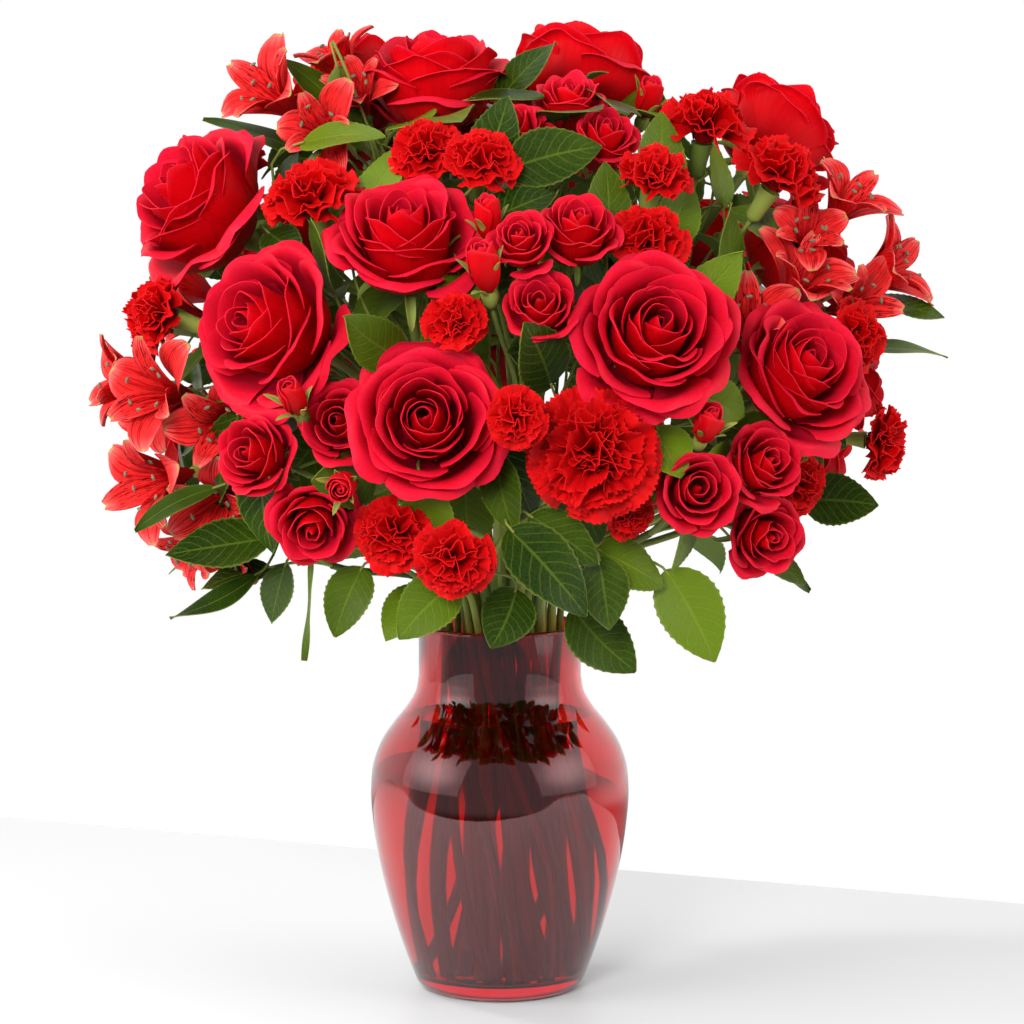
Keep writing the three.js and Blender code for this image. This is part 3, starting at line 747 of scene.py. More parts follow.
class Value:
    """A number that varies over a surface. Python's operators on it add the Math nodes that work it out."""

    def __init__(self, finish, socket):
        self.finish, self.socket = finish, socket

    def math(self, operation, *others, clamp=False):
        """A Math node over this value and others."""
        inputs = {i: other for i, other in enumerate((self, *others))}
        node = self.finish.add("Math", {"operation": operation, "use_clamp": clamp}, inputs)
        return Value(self.finish, node.outputs[0])

    def __add__(self, other):
        return self.math("ADD", other)

    def __mul__(self, other):
        return self.math("MULTIPLY", other)

    def __sub__(self, other):
        return self.math("SUBTRACT", other)

    def __rsub__(self, other):
        return (self * -1) + other

    def __abs__(self):
        return self.math("ABSOLUTE")

    __radd__, __rmul__ = __add__, __mul__

    def fraction(self):
        """What is left over the whole number below."""
        return self.math("FRACT")

    def clamped(self):
        """The value kept from 0 to 1."""
        return self.math("ADD", 0.0, clamp=True)

    def above(self, low, high):
        """0 below low, 1 above high, and a smooth ramp between."""
        node = self.finish.add(
            "MapRange", {"interpolation_type": "SMOOTHSTEP"},
            {"Value": self, "From Min": low, "From Max": high, "To Min": 0.0, "To Max": 1.0},
        )
        return Value(self.finish, node.outputs[0])


class Finish:
    """A material being made, on one Principled shader."""

    def __init__(self, name, **constants):
        self.material = bpy.data.materials.new(name)
        self.material.use_nodes = True
        self.tree = self.material.node_tree
        self.tree.nodes.clear()
        self.shader = self.add("BsdfPrincipled", {}, constants)
        self.add("OutputMaterial", {}, {"Surface": self.shader.outputs[0]})

    def add(self, kind, settings=None, inputs=None):
        """Adds a node, sets its settings, and then gives its sockets their values or links."""
        node = self.tree.nodes.new("ShaderNode" + kind)
        for key, value in (settings or {}).items():
            setattr(node, key, value)
        for key, value in (inputs or {}).items():
            self.feed(node.inputs[key], value)
        return node

    def feed(self, socket, value):
        """Links a socket to what feeds it, or sets it to a constant."""
        if isinstance(value, Value):
            value = value.socket
        if isinstance(value, bpy.types.NodeSocket):
            self.tree.links.new(value, socket)
        else:
            socket.default_value = value

    def number(self, socket):
        """A socket of this material as a Value."""
        return Value(self, socket)

    def traits(self):
        """The tint of a petal or leaf, its upper side, and how far in it sits."""
        node = self.add("Attribute", {"attribute_name": "trait"})
        parts = self.add("SeparateXYZ", {}, {0: node.outputs["Vector"]})
        return [self.number(part) for part in parts.outputs]

    def uv(self):
        """The place across and along a petal or leaf, each from 0 to 1."""
        node = self.add("UVMap", {"uv_map": "UVMap"})
        parts = self.add("SeparateXYZ", {}, {0: node.outputs[0]})
        return self.number(parts.outputs[0]), self.number(parts.outputs[1])

    def vector(self, x, y, z=0.0):
        """Three numbers as one vector."""
        return self.add("CombineXYZ", {}, {0: x, 1: y, 2: z}).outputs[0]

    def place(self):
        """The place in the piece's own space, in metres."""
        return self.add("TexCoord").outputs["Object"]

    def noise(self, where, scale, detail=2.0, roughness=0.5):
        """Soft noise from 0 to 1."""
        inputs = {"Vector": where, "Scale": scale, "Detail": detail, "Roughness": roughness}
        return self.number(self.add("TexNoise", {}, inputs).outputs[0])

    def mix(self, share, first, second):
        """A colour between two."""
        node = self.add("Mix", {"data_type": "RGBA"}, {0: share, 6: first, 7: second})
        return node.outputs[2]

    def set(self, **sockets):
        """Feeds the shader's sockets, named with _ for a space."""
        for key, value in sockets.items():
            self.feed(self.shader.inputs[key.replace("_", " ")], value)

    def bump(self, height, strength, distance):
        """Raises the surface by a height."""
        node = self.add("Bump", {}, {"Height": height, "Strength": strength, "Distance": distance})
        self.feed(self.shader.inputs["Normal"], node.outputs[0])


def colour(red, green, blue):
    """An opaque colour."""
    return (red, green, blue, 1.0)


def petal_finish(name, deep, bright, lip, back, lip_highlight, roughness, vein_count, vein_depth, sheen=0.06):
    """Petal skin: deeper towards the base and the middle of the flower as painted shade, brighter at the rim
    as a painted highlight, with fine veins that fan along it and a soft grain. The lower side turns to a
    tone of its own in soft patches."""
    finish = Finish(name, **{
        "Specular IOR Level": 0.12, "Sheen Weight": sheen, "Sheen Roughness": 0.4, "Sheen Tint": lip,
        "Subsurface Weight": 0.1, "Subsurface Radius": (0.006, 0.0012, 0.001), "Subsurface Scale": 0.5,
    })
    tint, upper, inner = finish.traits()
    across, along = finish.uv()
    cloud = finish.noise(finish.place(), 60.0, 3.0)
    fan = finish.vector(across * vein_count, along * 2.5, tint * 40)
    vein = finish.noise(fan, 1.0, 3.0, 0.6)
    # Painted shade: the colour deepens towards each petal's base and towards the middle of the flower, where
    # the cup is shaded; the grain and the tint add a random part.
    rise = (along * 0.9 + cloud * 0.25 + tint * 0.15 - inner * 0.12).above(0.25, 1.0)
    base = finish.mix(rise, deep, bright)
    base = finish.mix((vein - 0.5) * 0.9 + 0.15, base, deep)
    # Painted highlight: the last tenth of each petal turns towards the lip colour, as if light caught its
    # rim.
    rim = along.above(0.90, 1.0) * lip_highlight
    base = finish.mix(rim, base, lip)
    base = finish.mix((1 - upper) * (cloud * 0.6 + 0.15), base, back)
    base = finish.mix(tint * 0.22, base, deep)
    dull = roughness + (cloud - 0.5) * 0.25 + (vein - 0.5) * 0.2
    finish.set(Base_Color=base, Roughness=dull.clamped())
    finish.bump(vein + cloud * 0.4, vein_depth, 0.0006)
    return finish.material


def leaf_finish():
    """Leaf skin: a pale midrib, side veins that curve forward from it, a fine net between them, and a
    mottled green, glossier above and pale and dull beneath. Narrow leaves have veins along them instead."""
    finish = Finish("leaf_skin", **{
        "Specular IOR Level": 0.22, "Subsurface Weight": 0.08, "Subsurface Radius": (0.002, 0.004, 0.001),
        "Subsurface Scale": 0.5,
    })
    tint, upper, narrow = finish.traits()
    across, along = finish.uv()
    off = abs(across - 0.5) * 2
    place = finish.place()
    wander = finish.noise(place, 90.0, 2.0) - 0.5
    net = finish.add("TexVoronoi", {"feature": "DISTANCE_TO_EDGE"}, {"Vector": place, "Scale": 420.0})
    net = 1 - finish.number(net.outputs[0]).above(0.02, 0.16)
    midrib = 1 - off.above(0.015, 0.075)
    steps = ((along - off * 0.20 - off * off * 0.06 + wander * 0.02) * 8.5).fraction()
    side_vein = 1 - abs(steps - 0.5).above(0.03, 0.10)
    lengthwise = 1 - abs((off * 5.5 + wander * 0.1).fraction() - 0.5).above(0.04, 0.16)
    veins = side_vein * (1 - narrow) + lengthwise * narrow * 0.6
    veins = veins * (1 - off.above(0.85, 1.0)) * 0.8
    all_veins = (midrib + veins * 0.75 + net * 0.18 * (1 - narrow)).clamped()
    cloud = finish.noise(place, 35.0, 3.0)
    # The tint carries the painted shade and light from each leaf's place as well as its random tone.
    dark = finish.mix(tint * tint, colour(0.007, 0.024, 0.001), colour(0.125, 0.195, 0.008))
    green = finish.mix((cloud * 1.4 - 0.55).clamped() * (tint * 0.7 + 0.3), dark, colour(0.10, 0.17, 0.005))
    green = finish.mix(all_veins * 0.24, green, colour(0.22, 0.30, 0.03))
    green = finish.mix((1 - upper) * 0.5, green, colour(0.16, 0.24, 0.05))
    green = finish.mix(off.above(0.90, 1.0) * 0.25, green, colour(0.30, 0.34, 0.05))
    dull = 0.52 - upper * 0.22 + cloud * 0.12 + all_veins * 0.08
    finish.set(Base_Color=green, Roughness=dull.clamped())
    finish.bump(all_veins * -0.8 * (upper * 2 - 1) + cloud * 0.5, 0.55, 0.0007)
    return finish.material


def stem_finish():
    """Green stalk skin: paler streaks along it, a faint reddish blush in places, and a waxy bloom."""
    finish = Finish("stem_skin", **{"Specular IOR Level": 0.3})
    tint = finish.traits()[0]
    across, along = finish.uv()
    cloud = finish.noise(finish.place(), 45.0, 3.0)
    streak = finish.noise(finish.vector(across * 9, along * 2, tint * 20), 1.0, 1.0)
    green = finish.mix(tint, colour(0.03, 0.07, 0.006), colour(0.36, 0.40, 0.08))
    green = finish.mix((cloud - 0.2) * 0.4, green, colour(0.25, 0.34, 0.06))
    green = finish.mix((streak - 0.35) * 0.3, green, colour(0.06, 0.14, 0.02))
    green = finish.mix((along.above(0.75, 1.0) * tint) * 0.35, green, colour(0.38, 0.10, 0.05))
    finish.set(Base_Color=green, Roughness=(0.42 + cloud * 0.2).clamped())
    finish.bump(streak, 0.12, 0.0004)
    return finish.material


def alstroemeria_finish():
    """Thin tepals: red with deeper veins that fan along them, paler and pinker at the tips and beneath, a
    green point, and short dark dashes on the narrow ones."""
    finish = Finish("alstroemeria_skin", **{
        "Specular IOR Level": 0.15, "Subsurface Weight": 0.1, "Subsurface Radius": (0.006, 0.0015, 0.001),
        "Subsurface Scale": 0.5,
    })
    tint, upper, narrow = finish.traits()
    across, along = finish.uv()
    off = abs(across - 0.5) * 2
    vein = finish.noise(finish.vector(across * 22, along * 1.5, tint * 30), 1.0, 2.0, 0.6)
    cloud = finish.noise(finish.place(), 70.0, 3.0)
    dash = finish.noise(finish.vector(across * 30, along * 9, tint * 50), 1.0, 1.0)
    dashes = dash.above(0.58, 0.64) * along.above(0.30, 0.45) * (1 - along.above(0.85, 0.95))
    dashes = dashes * (narrow * 0.9 + 0.05)
    rise = (along + cloud * 0.3).above(0.1, 0.9)
    base = finish.mix(rise, colour(0.26, 0.001, 0.003), colour(0.66, 0.003, 0.005))
    base = finish.mix(off.above(0.65, 1.0) * along.above(0.5, 0.95) * 0.6, base, colour(0.92, 0.13, 0.12))
    base = finish.mix((1 - upper) * 0.35, base, colour(0.88, 0.05, 0.045))
    base = finish.mix(along.above(0.82, 1.0) * 0.5, base, colour(0.92, 0.20, 0.18))
    base = finish.mix(vein.above(0.50, 0.62) * 0.85, base, colour(0.30, 0.001, 0.004))
    base = finish.mix(along.above(0.95, 1.0) * (1 - off), base, colour(0.30, 0.30, 0.08))
    base = finish.mix(dashes, base, colour(0.03, 0.001, 0.002))
    finish.set(Base_Color=base, Roughness=(0.45 + cloud * 0.2).clamped())
    finish.bump(vein, 0.5, 0.0005)
    return finish.material


def anther_finish():
    """Anthers: dark, powdery and uneven."""
    finish = Finish("anther_skin", Roughness=0.8)
    cloud = finish.noise(finish.place(), 900.0, 2.0)
    finish.set(Base_Color=finish.mix(cloud, colour(0.02, 0.015, 0.012), colour(0.30, 0.27, 0.16)))
    finish.bump(cloud, 0.4, 0.0003)
    return finish.material


def glass_finish():
    """Ruby glass: clear red all through, with the slightest unevenness in its skin."""
    finish = Finish("ruby_glass", **{
        "Transmission Weight": 1.0, "IOR": 1.5,
        "Coat Weight": 0.38, "Coat IOR": 1.8, "Coat Roughness": 0.02,
    })
    waves = finish.noise(finish.place(), 22.0, 1.0)
    deep = finish.mix(waves, colour(0.74, 0.008, 0.022), colour(0.84, 0.014, 0.034))
    finish.set(Base_Color=deep, Roughness=(waves * 0.02).clamped())
    finish.bump(waves, 0.06, 0.002)
    return finish.material


def water_finish():
    """Clear water, stirred a little at its surface."""
    finish = Finish("vase_water", **{"Transmission Weight": 1.0, "IOR": 1.33, "Roughness": 0.0})
    ripple = finish.noise(finish.place(), 40.0, 1.0)
    finish.set(Base_Color=finish.mix(ripple, colour(0.96, 0.98, 0.98), colour(0.99, 1.0, 1.0)))
    finish.bump(ripple, 0.05, 0.001)
    return finish.material


CRIMSON_BACK = colour(0.64, 0.012, 0.052)
FINISHES = {
    # In the petals, deep is the colour of the veins and of the painted shade, and lip is the colour of the
    # painted highlight at the rim, which also tints the sheen.
    "rose": petal_finish(
        "rose_petal", deep=colour(0.28, 0.0002, 0.0012), bright=colour(0.70, 0.0012, 0.006),
        lip=colour(0.88, 0.016, 0.045), back=CRIMSON_BACK,
        lip_highlight=0.34, roughness=0.50, vein_count=34, vein_depth=0.25,
    ),
    "spray": petal_finish(
        "spray_rose_petal", deep=colour(0.28, 0.0003, 0.0012), bright=colour(0.68, 0.0015, 0.006),
        lip=colour(0.88, 0.035, 0.06), back=CRIMSON_BACK,
        lip_highlight=0.34, roughness=0.50, vein_count=26, vein_depth=0.25,
    ),
    "carnation": petal_finish(
        "carnation_petal", deep=colour(0.22, 0.0002, 0.0004), bright=colour(0.58, 0.0015, 0.002),
        lip=colour(0.85, 0.012, 0.014), back=colour(0.66, 0.006, 0.008),
        lip_highlight=0.40, roughness=0.58, vein_count=44, vein_depth=0.5, sheen=0.05,
    ),
    "alstroemeria": alstroemeria_finish(),
    "anther": anther_finish(),
    "leaf": leaf_finish(),
    "stem": stem_finish(),
    "glass": glass_finish(),
    "water": water_finish(),
}


# ---------------------------------------------------------------- the vase


def vase_wall():
    """The outside of the vase's wall in the CAD solid, as (radius, height), from the heel up to the lip."""
    points = triangles("vase").reshape(-1, 3)
    around = np.column_stack([np.hypot(points[:, 0], points[:, 1]), points[:, 2]])
    rings = np.unique(np.round(around, 4), axis=0)
    outer = np.array([(rings[rings[:, 1] == z, 0].max(), z) for z in np.unique(rings[:, 1])])
    height = outer[:, 1]
    on_wall = (height > 1 * MM) & (height < 0.99 * VASE_HIGH[2])
    return outer[on_wall & (np.abs(height - GLASS_FLOOR) > 0.5 * MM)]


def through(points, count):
    """A smooth curve through points: a cubic between each pair, with the slope of their neighbours."""
    x, y = points[:, 1], points[:, 0]
    slope = np.gradient(y, x)
    at = np.linspace(x[0], x[-1], count)
    i = np.clip(np.searchsorted(x, at) - 1, 0, len(x) - 2)
    span = x[i + 1] - x[i]
    s = (at - x[i]) / span
    value = (
        (2 * s ** 3 - 3 * s ** 2 + 1) * y[i] + (s ** 3 - 2 * s ** 2 + s) * span * slope[i]
        + (-2 * s ** 3 + 3 * s ** 2) * y[i + 1] + (s ** 3 - s ** 2) * span * slope[i + 1]
    )
    return np.column_stack([value, at])


def arc(centre, radius, start, end, count):
    """Points of an arc in the profile's plane, in degrees from the outward direction."""
    turn = np.radians(np.linspace(start, end, count))
    return np.column_stack([centre[0] + radius * np.cos(turn), centre[1] + radius * np.sin(turn)])


WALL_SIDES = 96
GAP = 0.3 * MM  # how far the water reaches into the glass, so that no air shows between them
# The dished underside and the turn of the foot, in millimetres from the axis and from the table.
UNDERSIDE = [(0, 2.2), (20, 1.9), (31, 0.8), (35, 0.05), (37, 0.0), (40, 0.3), (43.5, 2)]
# The turn from the wall to the floor, and the same under the water, in millimetres inwards and upwards.
GLASS_CORNER = [(1.6, 2.5), (5, 0.6), (12, 0)]
WATER_CORNER = [(12, -0.3), (5, 0.3), (1.6, 2.2)]
# The water's skin, which climbs the glass, in millimetres inwards and upwards.
MENISCUS = [(-0.3, 1.4), (0.4, 1.0), (1.6, 0.3), (4, 0)]


def inwards(radius, height, steps):
    """Points at steps of millimetres inwards and upwards from a ring."""
    return [(radius - inward * MM, height + up * MM) for inward, up in steps]


def turned(name, finish, slot, node, profile):
    """A piece that is a profile turned about the vase's axis."""
    piece = Piece()
    piece.lathe(np.vstack(profile), np.eye(3), np.zeros(3), WALL_SIDES)
    piece.finish(name, FINISHES[finish], slot, node)


def make_vase():
    """The vase: one closed wall, round at the heel and the lip, with a dished underside, and its water."""
    wall = vase_wall()
    lip_radius = GLASS_WALL / 2
    wall = wall[wall[:, 1] < VASE_HIGH[2] - GLASS_WALL]
    top, top_height = wall[-1, 0], wall[-1, 1] + 0.1 * MM
    outside = np.vstack([through(wall, 90), [(top, VASE_HIGH[2] - GLASS_WALL * 0.75)]])
    lip = arc((top - lip_radius, VASE_HIGH[2] - lip_radius), lip_radius, 0, 180, 13)
    inside = outside[(outside[:, 1] > GLASS_FLOOR + 4 * MM) & (outside[:, 1] < top_height)][::-1]
    inside = inside - np.array([GLASS_WALL, 0])
    floor = inwards(inside[-1, 0], GLASS_FLOOR, GLASS_CORNER) + [(0, GLASS_FLOOR)]
    underside = np.array(UNDERSIDE) * MM
    turned("vase_glass", "glass", "ruby_glass", "vase", [underside, outside, lip, inside, floor])

    wet = inside[(inside[:, 1] < WATER_LEVEL - 1 * MM)][::-1] + np.array([GAP, 0])
    rim = np.interp(WATER_LEVEL, inside[::-1, 1], inside[::-1, 0])
    skin = inwards(rim, WATER_LEVEL, MENISCUS) + [(0, WATER_LEVEL)]
    bottom = [(0, GLASS_FLOOR - GAP)] + inwards(wet[0, 0], GLASS_FLOOR, WATER_CORNER)
    turned("vase_water", "water", "water", "water", [bottom, wet, skin])


# ---------------------------------------------------------------- the bouquet


nodes = sorted(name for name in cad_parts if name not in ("vase", "water"))
solids = {node: triangles(node) for node in nodes}
flats = {node: flat_faces(solids[node]) for node in nodes}
heads = {node: heads_of(node, flats[node]) for node in nodes}
leaves = {node: leaves_of(flats[node]) for node in nodes if node.startswith(("foliage", "alstroemeria"))}
stems = {node: Stem(node, solids[node]) for node in nodes if "bloom" not in node}
every_head = [head for group in heads.values() for head in group]


def make_single(node):
    """A rose or a carnation that stands alone on its stem."""
    kind = "rose" if node.startswith("rose") else "carnation"
    stem_node = node.replace("bloom", "stem")
    rng = seeded(node)
    head, stem = heads[node][0], stems[stem_node]
    petals, greens = Piece(), Piece()
    (add_rose if kind == "rose" else add_carnation)(petals, greens, head, rng)
    path = stem_path(stem, head.base, head.faces)
    radii = np.full(len(path), stem.radius * STALK_SHARE)
    radii[-3:] *= [1.0, 1.05, 1.15]
    greens.tube(path, radii, 10, rng.uniform(0, 1))
    petals.finish(f"{kind}_petals_{number_of(node)}", FINISHES[kind], f"{kind}_petal", node)
    greens.finish(f"{kind}_stalk_{number_of(node)}", FINISHES["stem"], "stem", stem_node)


def make_spray(node):
    """A branching stem of spray roses and buds, or of small carnations."""
    kind = "spray" if node.startswith("spray") else "carnation"
    rng = seeded(node)
    petals, greens = Piece(), Piece()
    add_head = {"spray": add_rose, "bud": add_bud, "carnation": add_carnation}
    for head in heads[node]:
        add_head[head.kind](petals, greens, head, rng)
    add_branches(greens, stems[node], heads[node], [])
    slot = "spray_rose_petal" if kind == "spray" else "carnation_petal"
    petals.finish(f"{node}_petals", FINISHES[kind], slot, node)
    greens.finish(f"{node}_stalks", FINISHES["stem"], "stem", node)


def make_alstroemeria(node):
    """A branching stem of alstroemeria, with its narrow leaves."""
    rng = seeded(node)
    petals, greens, anthers, blades = Piece(), Piece(), Piece(), Piece()
    for head in heads[node]:
        add_alstroemeria(petals, greens, anthers, head, rng)
    add_branches(greens, stems[node], heads[node], leaves[node])
    for leaf in leaves[node]:
        add_leaf(blades, leaf, rng)
    petals.finish(f"{node}_petals", FINISHES["alstroemeria"], "alstroemeria_petal", node)
    greens.finish(f"{node}_stalks", FINISHES["stem"], "stem", node)
    anthers.finish(f"{node}_anthers", FINISHES["anther"], "alstroemeria_petal", node)
    if leaves[node]:
        blades.finish(f"{node}_leaves", FINISHES["leaf"], "leaf", node)


def make_foliage(node):
    """A branch of cut greens."""
    rng = seeded(node)
    stalks, blades = Piece(), Piece()
    add_branches(stalks, stems[node], [], leaves[node], 1.2 * MM)
    for leaf in leaves[node]:
        add_leaf(blades, leaf, rng)
    blades.finish(f"{node}_leaves", FINISHES["leaf"], "leaf", node)
    stalks.finish(f"{node}_stalks", FINISHES["stem"], "stem", node)


def dome_directions(count, lowest):
    """Directions spread evenly over a dome: in equal steps of height, each a golden angle on."""
    height = 1 - (np.arange(count) + 0.5) / count * (1 - lowest)
    turn = np.arange(count) * GOLDEN_ANGLE
    level = np.sqrt(1 - height ** 2)
    return np.stack([level * np.cos(turn), level * np.sin(turn), height], axis=1)


DIRECTIONS_TRIED = 900
LOWEST_GAP, LOWEST_INNER = math.radians(-24), math.radians(-30)
SMALLEST_GAP = math.radians(0.5)
LEAF_SPACING = math.radians(9.5)
INNER_LEAVES = 110
# How far from the dome's centre a filler leaf lies and how long it is, in millimetres.
OUTER_REACH, OUTER_LENGTH = (160, 176), (40, 56)
INNER_REACH, INNER_LENGTH = (112, 142), (46, 60)
UNDER_BLOOM = 14 * MM
BLOOM_MARGIN = math.radians(8)


def wanted_leaves(rng):
    """Where leaves are wanted, as (direction, distance, length) from the dome's centre.

    Outer ones lie in the gaps. A gap is a direction that is far from every head's cone; the widest are
    taken first, and each taken one keeps the next at a distance. Inner ones stand under the blooms all
    round, where they close the view between them.
    """
    ways = dome_directions(DIRECTIONS_TRIED, math.sin(LOWEST_GAP))
    reach = np.array([np.linalg.norm(head.middle - DOME_CENTRE) for head in every_head])
    beneath = np.array([np.linalg.norm(head.base - DOME_CENTRE) for head in every_head])
    toward = np.array([unit(head.middle - DOME_CENTRE) for head in every_head])
    cone = np.arcsin(np.array([head.radius for head in every_head]) / reach)
    room = (np.arccos(np.clip(ways @ toward.T, -1, 1)) - cone).min(1)
    outer = []
    for i in np.argsort(-room):
        if room[i] > SMALLEST_GAP and all(ways[i] @ way < math.cos(LEAF_SPACING) for way in outer):
            outer.append(ways[i])
    wanted = [(way, rng.uniform(*OUTER_REACH) * MM, rng.uniform(*OUTER_LENGTH) * MM) for way in outer]
    for way in dome_directions(INNER_LEAVES, math.sin(LOWEST_INNER)):
        over = np.arccos(np.clip(toward @ way, -1, 1)) < cone + BLOOM_MARGIN
        ceiling = beneath[over].min(initial=1.0) - UNDER_BLOOM
        distance = min(rng.uniform(*INNER_REACH) * MM, ceiling)
        wanted.append((way, distance, rng.uniform(*INNER_LENGTH) * MM))
    return wanted


def add_filler_leaf(blades, stalks, head, path, way, distance, length, rng):
    """A leaf that leans away from its rose, cut short where it would start inside it, and its petiole."""
    away = way - unit(head.middle - DOME_CENTRE)
    away = unit(away - way * (away @ way) + 0.15 * rng.normal(0, 1, 3))
    along = unit(away + way * rng.uniform(0.15, 0.6))
    base = DOME_CENTRE + way * distance - along * length * 0.5
    up = unit(way + 0.25 * rng.normal(0, 1, 3))
    width = length * rng.uniform(0.5, 0.64)
    off_axis = np.linalg.norm(np.cross(base - head.base, head.faces))
    cut = np.clip(head.radius - off_axis, 0, 0.4 * length)
    base = base + along * cut
    add_leaf(blades, Leaf(base, along, up, length - cut, width), rng)
    start = path[-7 - rng.integers(0, 3)]
    leaving = unit(unit(base - start) - 0.45 * way)
    petiole = bend(start, leaving, base + along * 0.05 * length, along)
    stalks.tube(petiole, np.linspace(1.1, 0.7, len(petiole)) * MM, 6)


def make_filler_leaves():
    """Leaves between and behind the blooms, each on the rose whose bloom is nearest to its direction."""
    rng = seeded("filler_leaves")
    roses = [node for node in stems if node.startswith("rose_stem")]
    blooms = {node: heads[node.replace("stem", "bloom")][0] for node in roses}
    groups = {node: [] for node in roses}
    for wanted in wanted_leaves(rng):
        nearest = max(roses, key=lambda node: unit(blooms[node].middle - DOME_CENTRE) @ wanted[0])
        groups[nearest].append(wanted)
    for node in filter(groups.get, roses):
        blades, stalks = Piece(), Piece()
        path = stem_path(stems[node], blooms[node].base, blooms[node].faces)
        for way, distance, length in groups[node]:
            add_filler_leaf(blades, stalks, blooms[node], path, way, distance, length, rng)
        blades.finish(f"rose_leaves_{number_of(node)}", FINISHES["leaf"], "leaf")
        stalks.finish(f"rose_petioles_{number_of(node)}", FINISHES["stem"], "stem")


make_vase()
for node in nodes:
    if "bloom" in node:
        make_single(node)
    elif node.startswith(("spray", "mini")):
        make_spray(node)
    elif node.startswith("alstroemeria"):
        make_alstroemeria(node)
    elif node.startswith("foliage"):
        make_foliage(node)
make_filler_leaves()


# ---------------------------------------------------------------- the studio


FAR_LEFT, FAR_RIGHT = np.array([-3.3, 1.63]), np.array([3.1, -0.91])  # the table's far corners
TABLE_DEPTH, TABLE_THICKNESS = 0.75, 0.04


def make_table():
    """A pale table whose far edge runs slantwise behind the vase."""
    across = unit(FAR_RIGHT - FAR_LEFT)
    nearer = np.array([-across[1], across[0]]) * -TABLE_DEPTH
    top = [FAR_LEFT, FAR_RIGHT, FAR_RIGHT + nearer, FAR_LEFT + nearer]
    points = [(*corner, -depth) for depth in (0.0, TABLE_THICKNESS) for corner in top]
    sides = [(i, (i + 1) % 4, (i + 1) % 4 + 4, i + 4) for i in range(4)]
    mesh = bpy.data.meshes.new("table")
    mesh.from_pydata(points, [], [(3, 2, 1, 0), (4, 5, 6, 7), *sides])
    table = bpy.data.objects.new("table", mesh)
    bpy.context.collection.objects.link(table)
    finish = Finish("table_top", **{"Roughness": 0.45, "Specular IOR Level": 0.4})
    grain = finish.noise(finish.place(), 3.0, 3.0)
    finish.set(Base_Color=finish.mix(grain, colour(0.66, 0.66, 0.665), colour(0.69, 0.69, 0.695)))
    mesh.materials.append(finish.material)


def aim(made, target):
    """Turns a light or a camera to look at a point."""
    made.rotation_euler = (Vector(target) - made.location).to_track_quat("-Z", "Y").to_euler()


def add_ramp(tree, value, ends, values):
    """A smooth ramp from one value to another between two ends, for a light or the world."""
    ramp = tree.nodes.new("ShaderNodeMapRange")
    ramp.interpolation_type = "SMOOTHSTEP"
    for socket, number in zip(("From Min", "From Max", "To Min", "To Max"), (*ends, *values)):
        ramp.inputs[socket].default_value = number
    tree.links.new(value, ramp.inputs["Value"])
    return ramp.outputs[0]


# How a light fades from its middle outwards, at distances in shares of its size.
LIGHT_FALL, LIGHT_STRENGTH = (0.0, 0.55), (2.4, 0.5)
BLOOMS = (0, 0, 0.3)


def make_light(name, place, size, power, reflected=True):
    """A soft light that looks at the bouquet, brightest in its middle and dim at its edge."""
    light = bpy.data.lights.new(name, "AREA")
    light.shape = "RECTANGLE"
    light.size, light.size_y = size
    light.energy = power
    light.use_nodes = True
    tree = light.node_tree
    glow = next(node for node in tree.nodes if node.type == "EMISSION")
    where = tree.nodes.new("ShaderNodeNewGeometry")
    middle = tree.nodes.new("ShaderNodeVectorMath")
    middle.operation = "DISTANCE"
    middle.inputs[1].default_value = (0.5, 0.5, 0)
    tree.links.new(where.outputs["Parametric"], middle.inputs[0])
    fall = add_ramp(tree, middle.outputs["Value"], LIGHT_FALL, LIGHT_STRENGTH)
    tree.links.new(fall, glow.inputs["Strength"])
    made = bpy.data.objects.new(name, light)
    made.location = place
    bpy.context.collection.objects.link(made)
    made.visible_glossy = made.visible_transmission = reflected
    aim(made, BLOOMS)


# The surroundings' strength from the front to the back, and from below the table to above it.
FRONT_TO_BACK = ("Y", (-0.3, 0.35), (0.34, 0.95))
BELOW_TO_ABOVE = ("Z", (-0.24, -0.13), (0.25, 1.0))


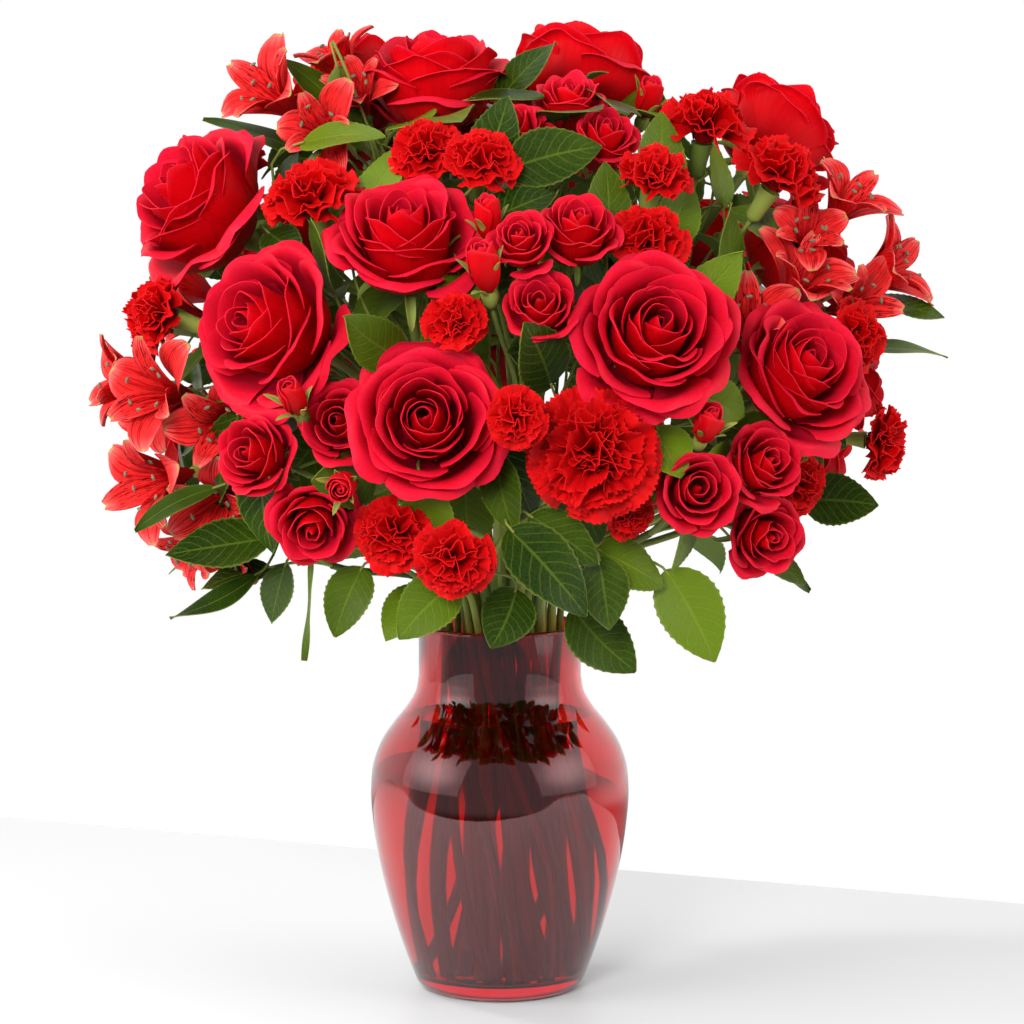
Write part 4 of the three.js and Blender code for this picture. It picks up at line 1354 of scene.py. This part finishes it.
def make_surroundings():
    """White to the camera. To everything else they are dimmer in front and below than behind."""
    world = bpy.data.worlds.new("studio")
    bpy.context.scene.world = world
    world.use_nodes = True
    tree = world.node_tree
    tree.nodes.clear()
    where = tree.nodes.new("ShaderNodeTexCoord")
    ways = tree.nodes.new("ShaderNodeSeparateXYZ")
    tree.links.new(where.outputs["Generated"], ways.inputs[0])
    product = tree.nodes.new("ShaderNodeMath")
    product.operation = "MULTIPLY"
    for i, (part, ends, values) in enumerate((FRONT_TO_BACK, BELOW_TO_ABOVE)):
        tree.links.new(add_ramp(tree, ways.outputs[part], ends, values), product.inputs[i])
    lit, shown = (tree.nodes.new("ShaderNodeBackground") for _ in range(2))
    for one in (lit, shown):
        one.inputs["Color"].default_value = (1, 1, 1, 1)
        one.inputs["Strength"].default_value = 1.0
    tree.links.new(product.outputs[0], lit.inputs["Strength"])
    seen = tree.nodes.new("ShaderNodeLightPath")
    choice = tree.nodes.new("ShaderNodeMixShader")
    out = tree.nodes.new("ShaderNodeOutputWorld")
    tree.links.new(seen.outputs["Is Camera Ray"], choice.inputs[0])
    tree.links.new(lit.outputs[0], choice.inputs[1])
    tree.links.new(shown.outputs[0], choice.inputs[2])
    tree.links.new(choice.outputs[0], out.inputs[0])


def make_lights():
    """A panel at each side that the glass reflects, and soft lights that only fill."""
    make_light("left_panel", (-1.45, -0.65, 0.8), (2.0, 1.5), 10)
    make_light("right_panel", (1.45, -0.65, 0.8), (2.0, 1.5), 8)
    make_light("left_fill", (-1.5, -0.7, 0.85), (1.6, 1.2), 14, reflected=False)
    make_light("right_fill", (1.5, -0.7, 0.85), (1.6, 1.2), 7, reflected=False)
    make_light("front_softbox", (-0.5, -1.95, 1.0), (1.0, 0.8), 40, reflected=False)
    make_light("back_key", (-1.3, 0.6, 1.75), (0.28, 0.28), 11, reflected=False)


CAMERA_PLACE = (0.0066, -1.9, 0.48)
CAMERA_DIP = math.radians(6.6)
FOCAL_LENGTH, SENSOR_WIDTH = 124.7, 36  # in millimetres
FARTHEST_SEEN = 50


def make_camera():
    """A long lens a little above the blooms, looking slightly down."""
    lens = bpy.data.cameras.new("camera")
    lens.lens, lens.sensor_width = FOCAL_LENGTH, SENSOR_WIDTH
    lens.clip_end = FARTHEST_SEEN
    camera = bpy.data.objects.new("camera", lens)
    camera.location = CAMERA_PLACE
    camera.rotation_euler = (math.pi / 2 - CAMERA_DIP, 0, 0)
    bpy.context.collection.objects.link(camera)
    bpy.context.scene.camera = camera


make_table()
make_surroundings()
make_lights()
make_camera()
bpy.context.scene.view_settings.view_transform = "Standard"
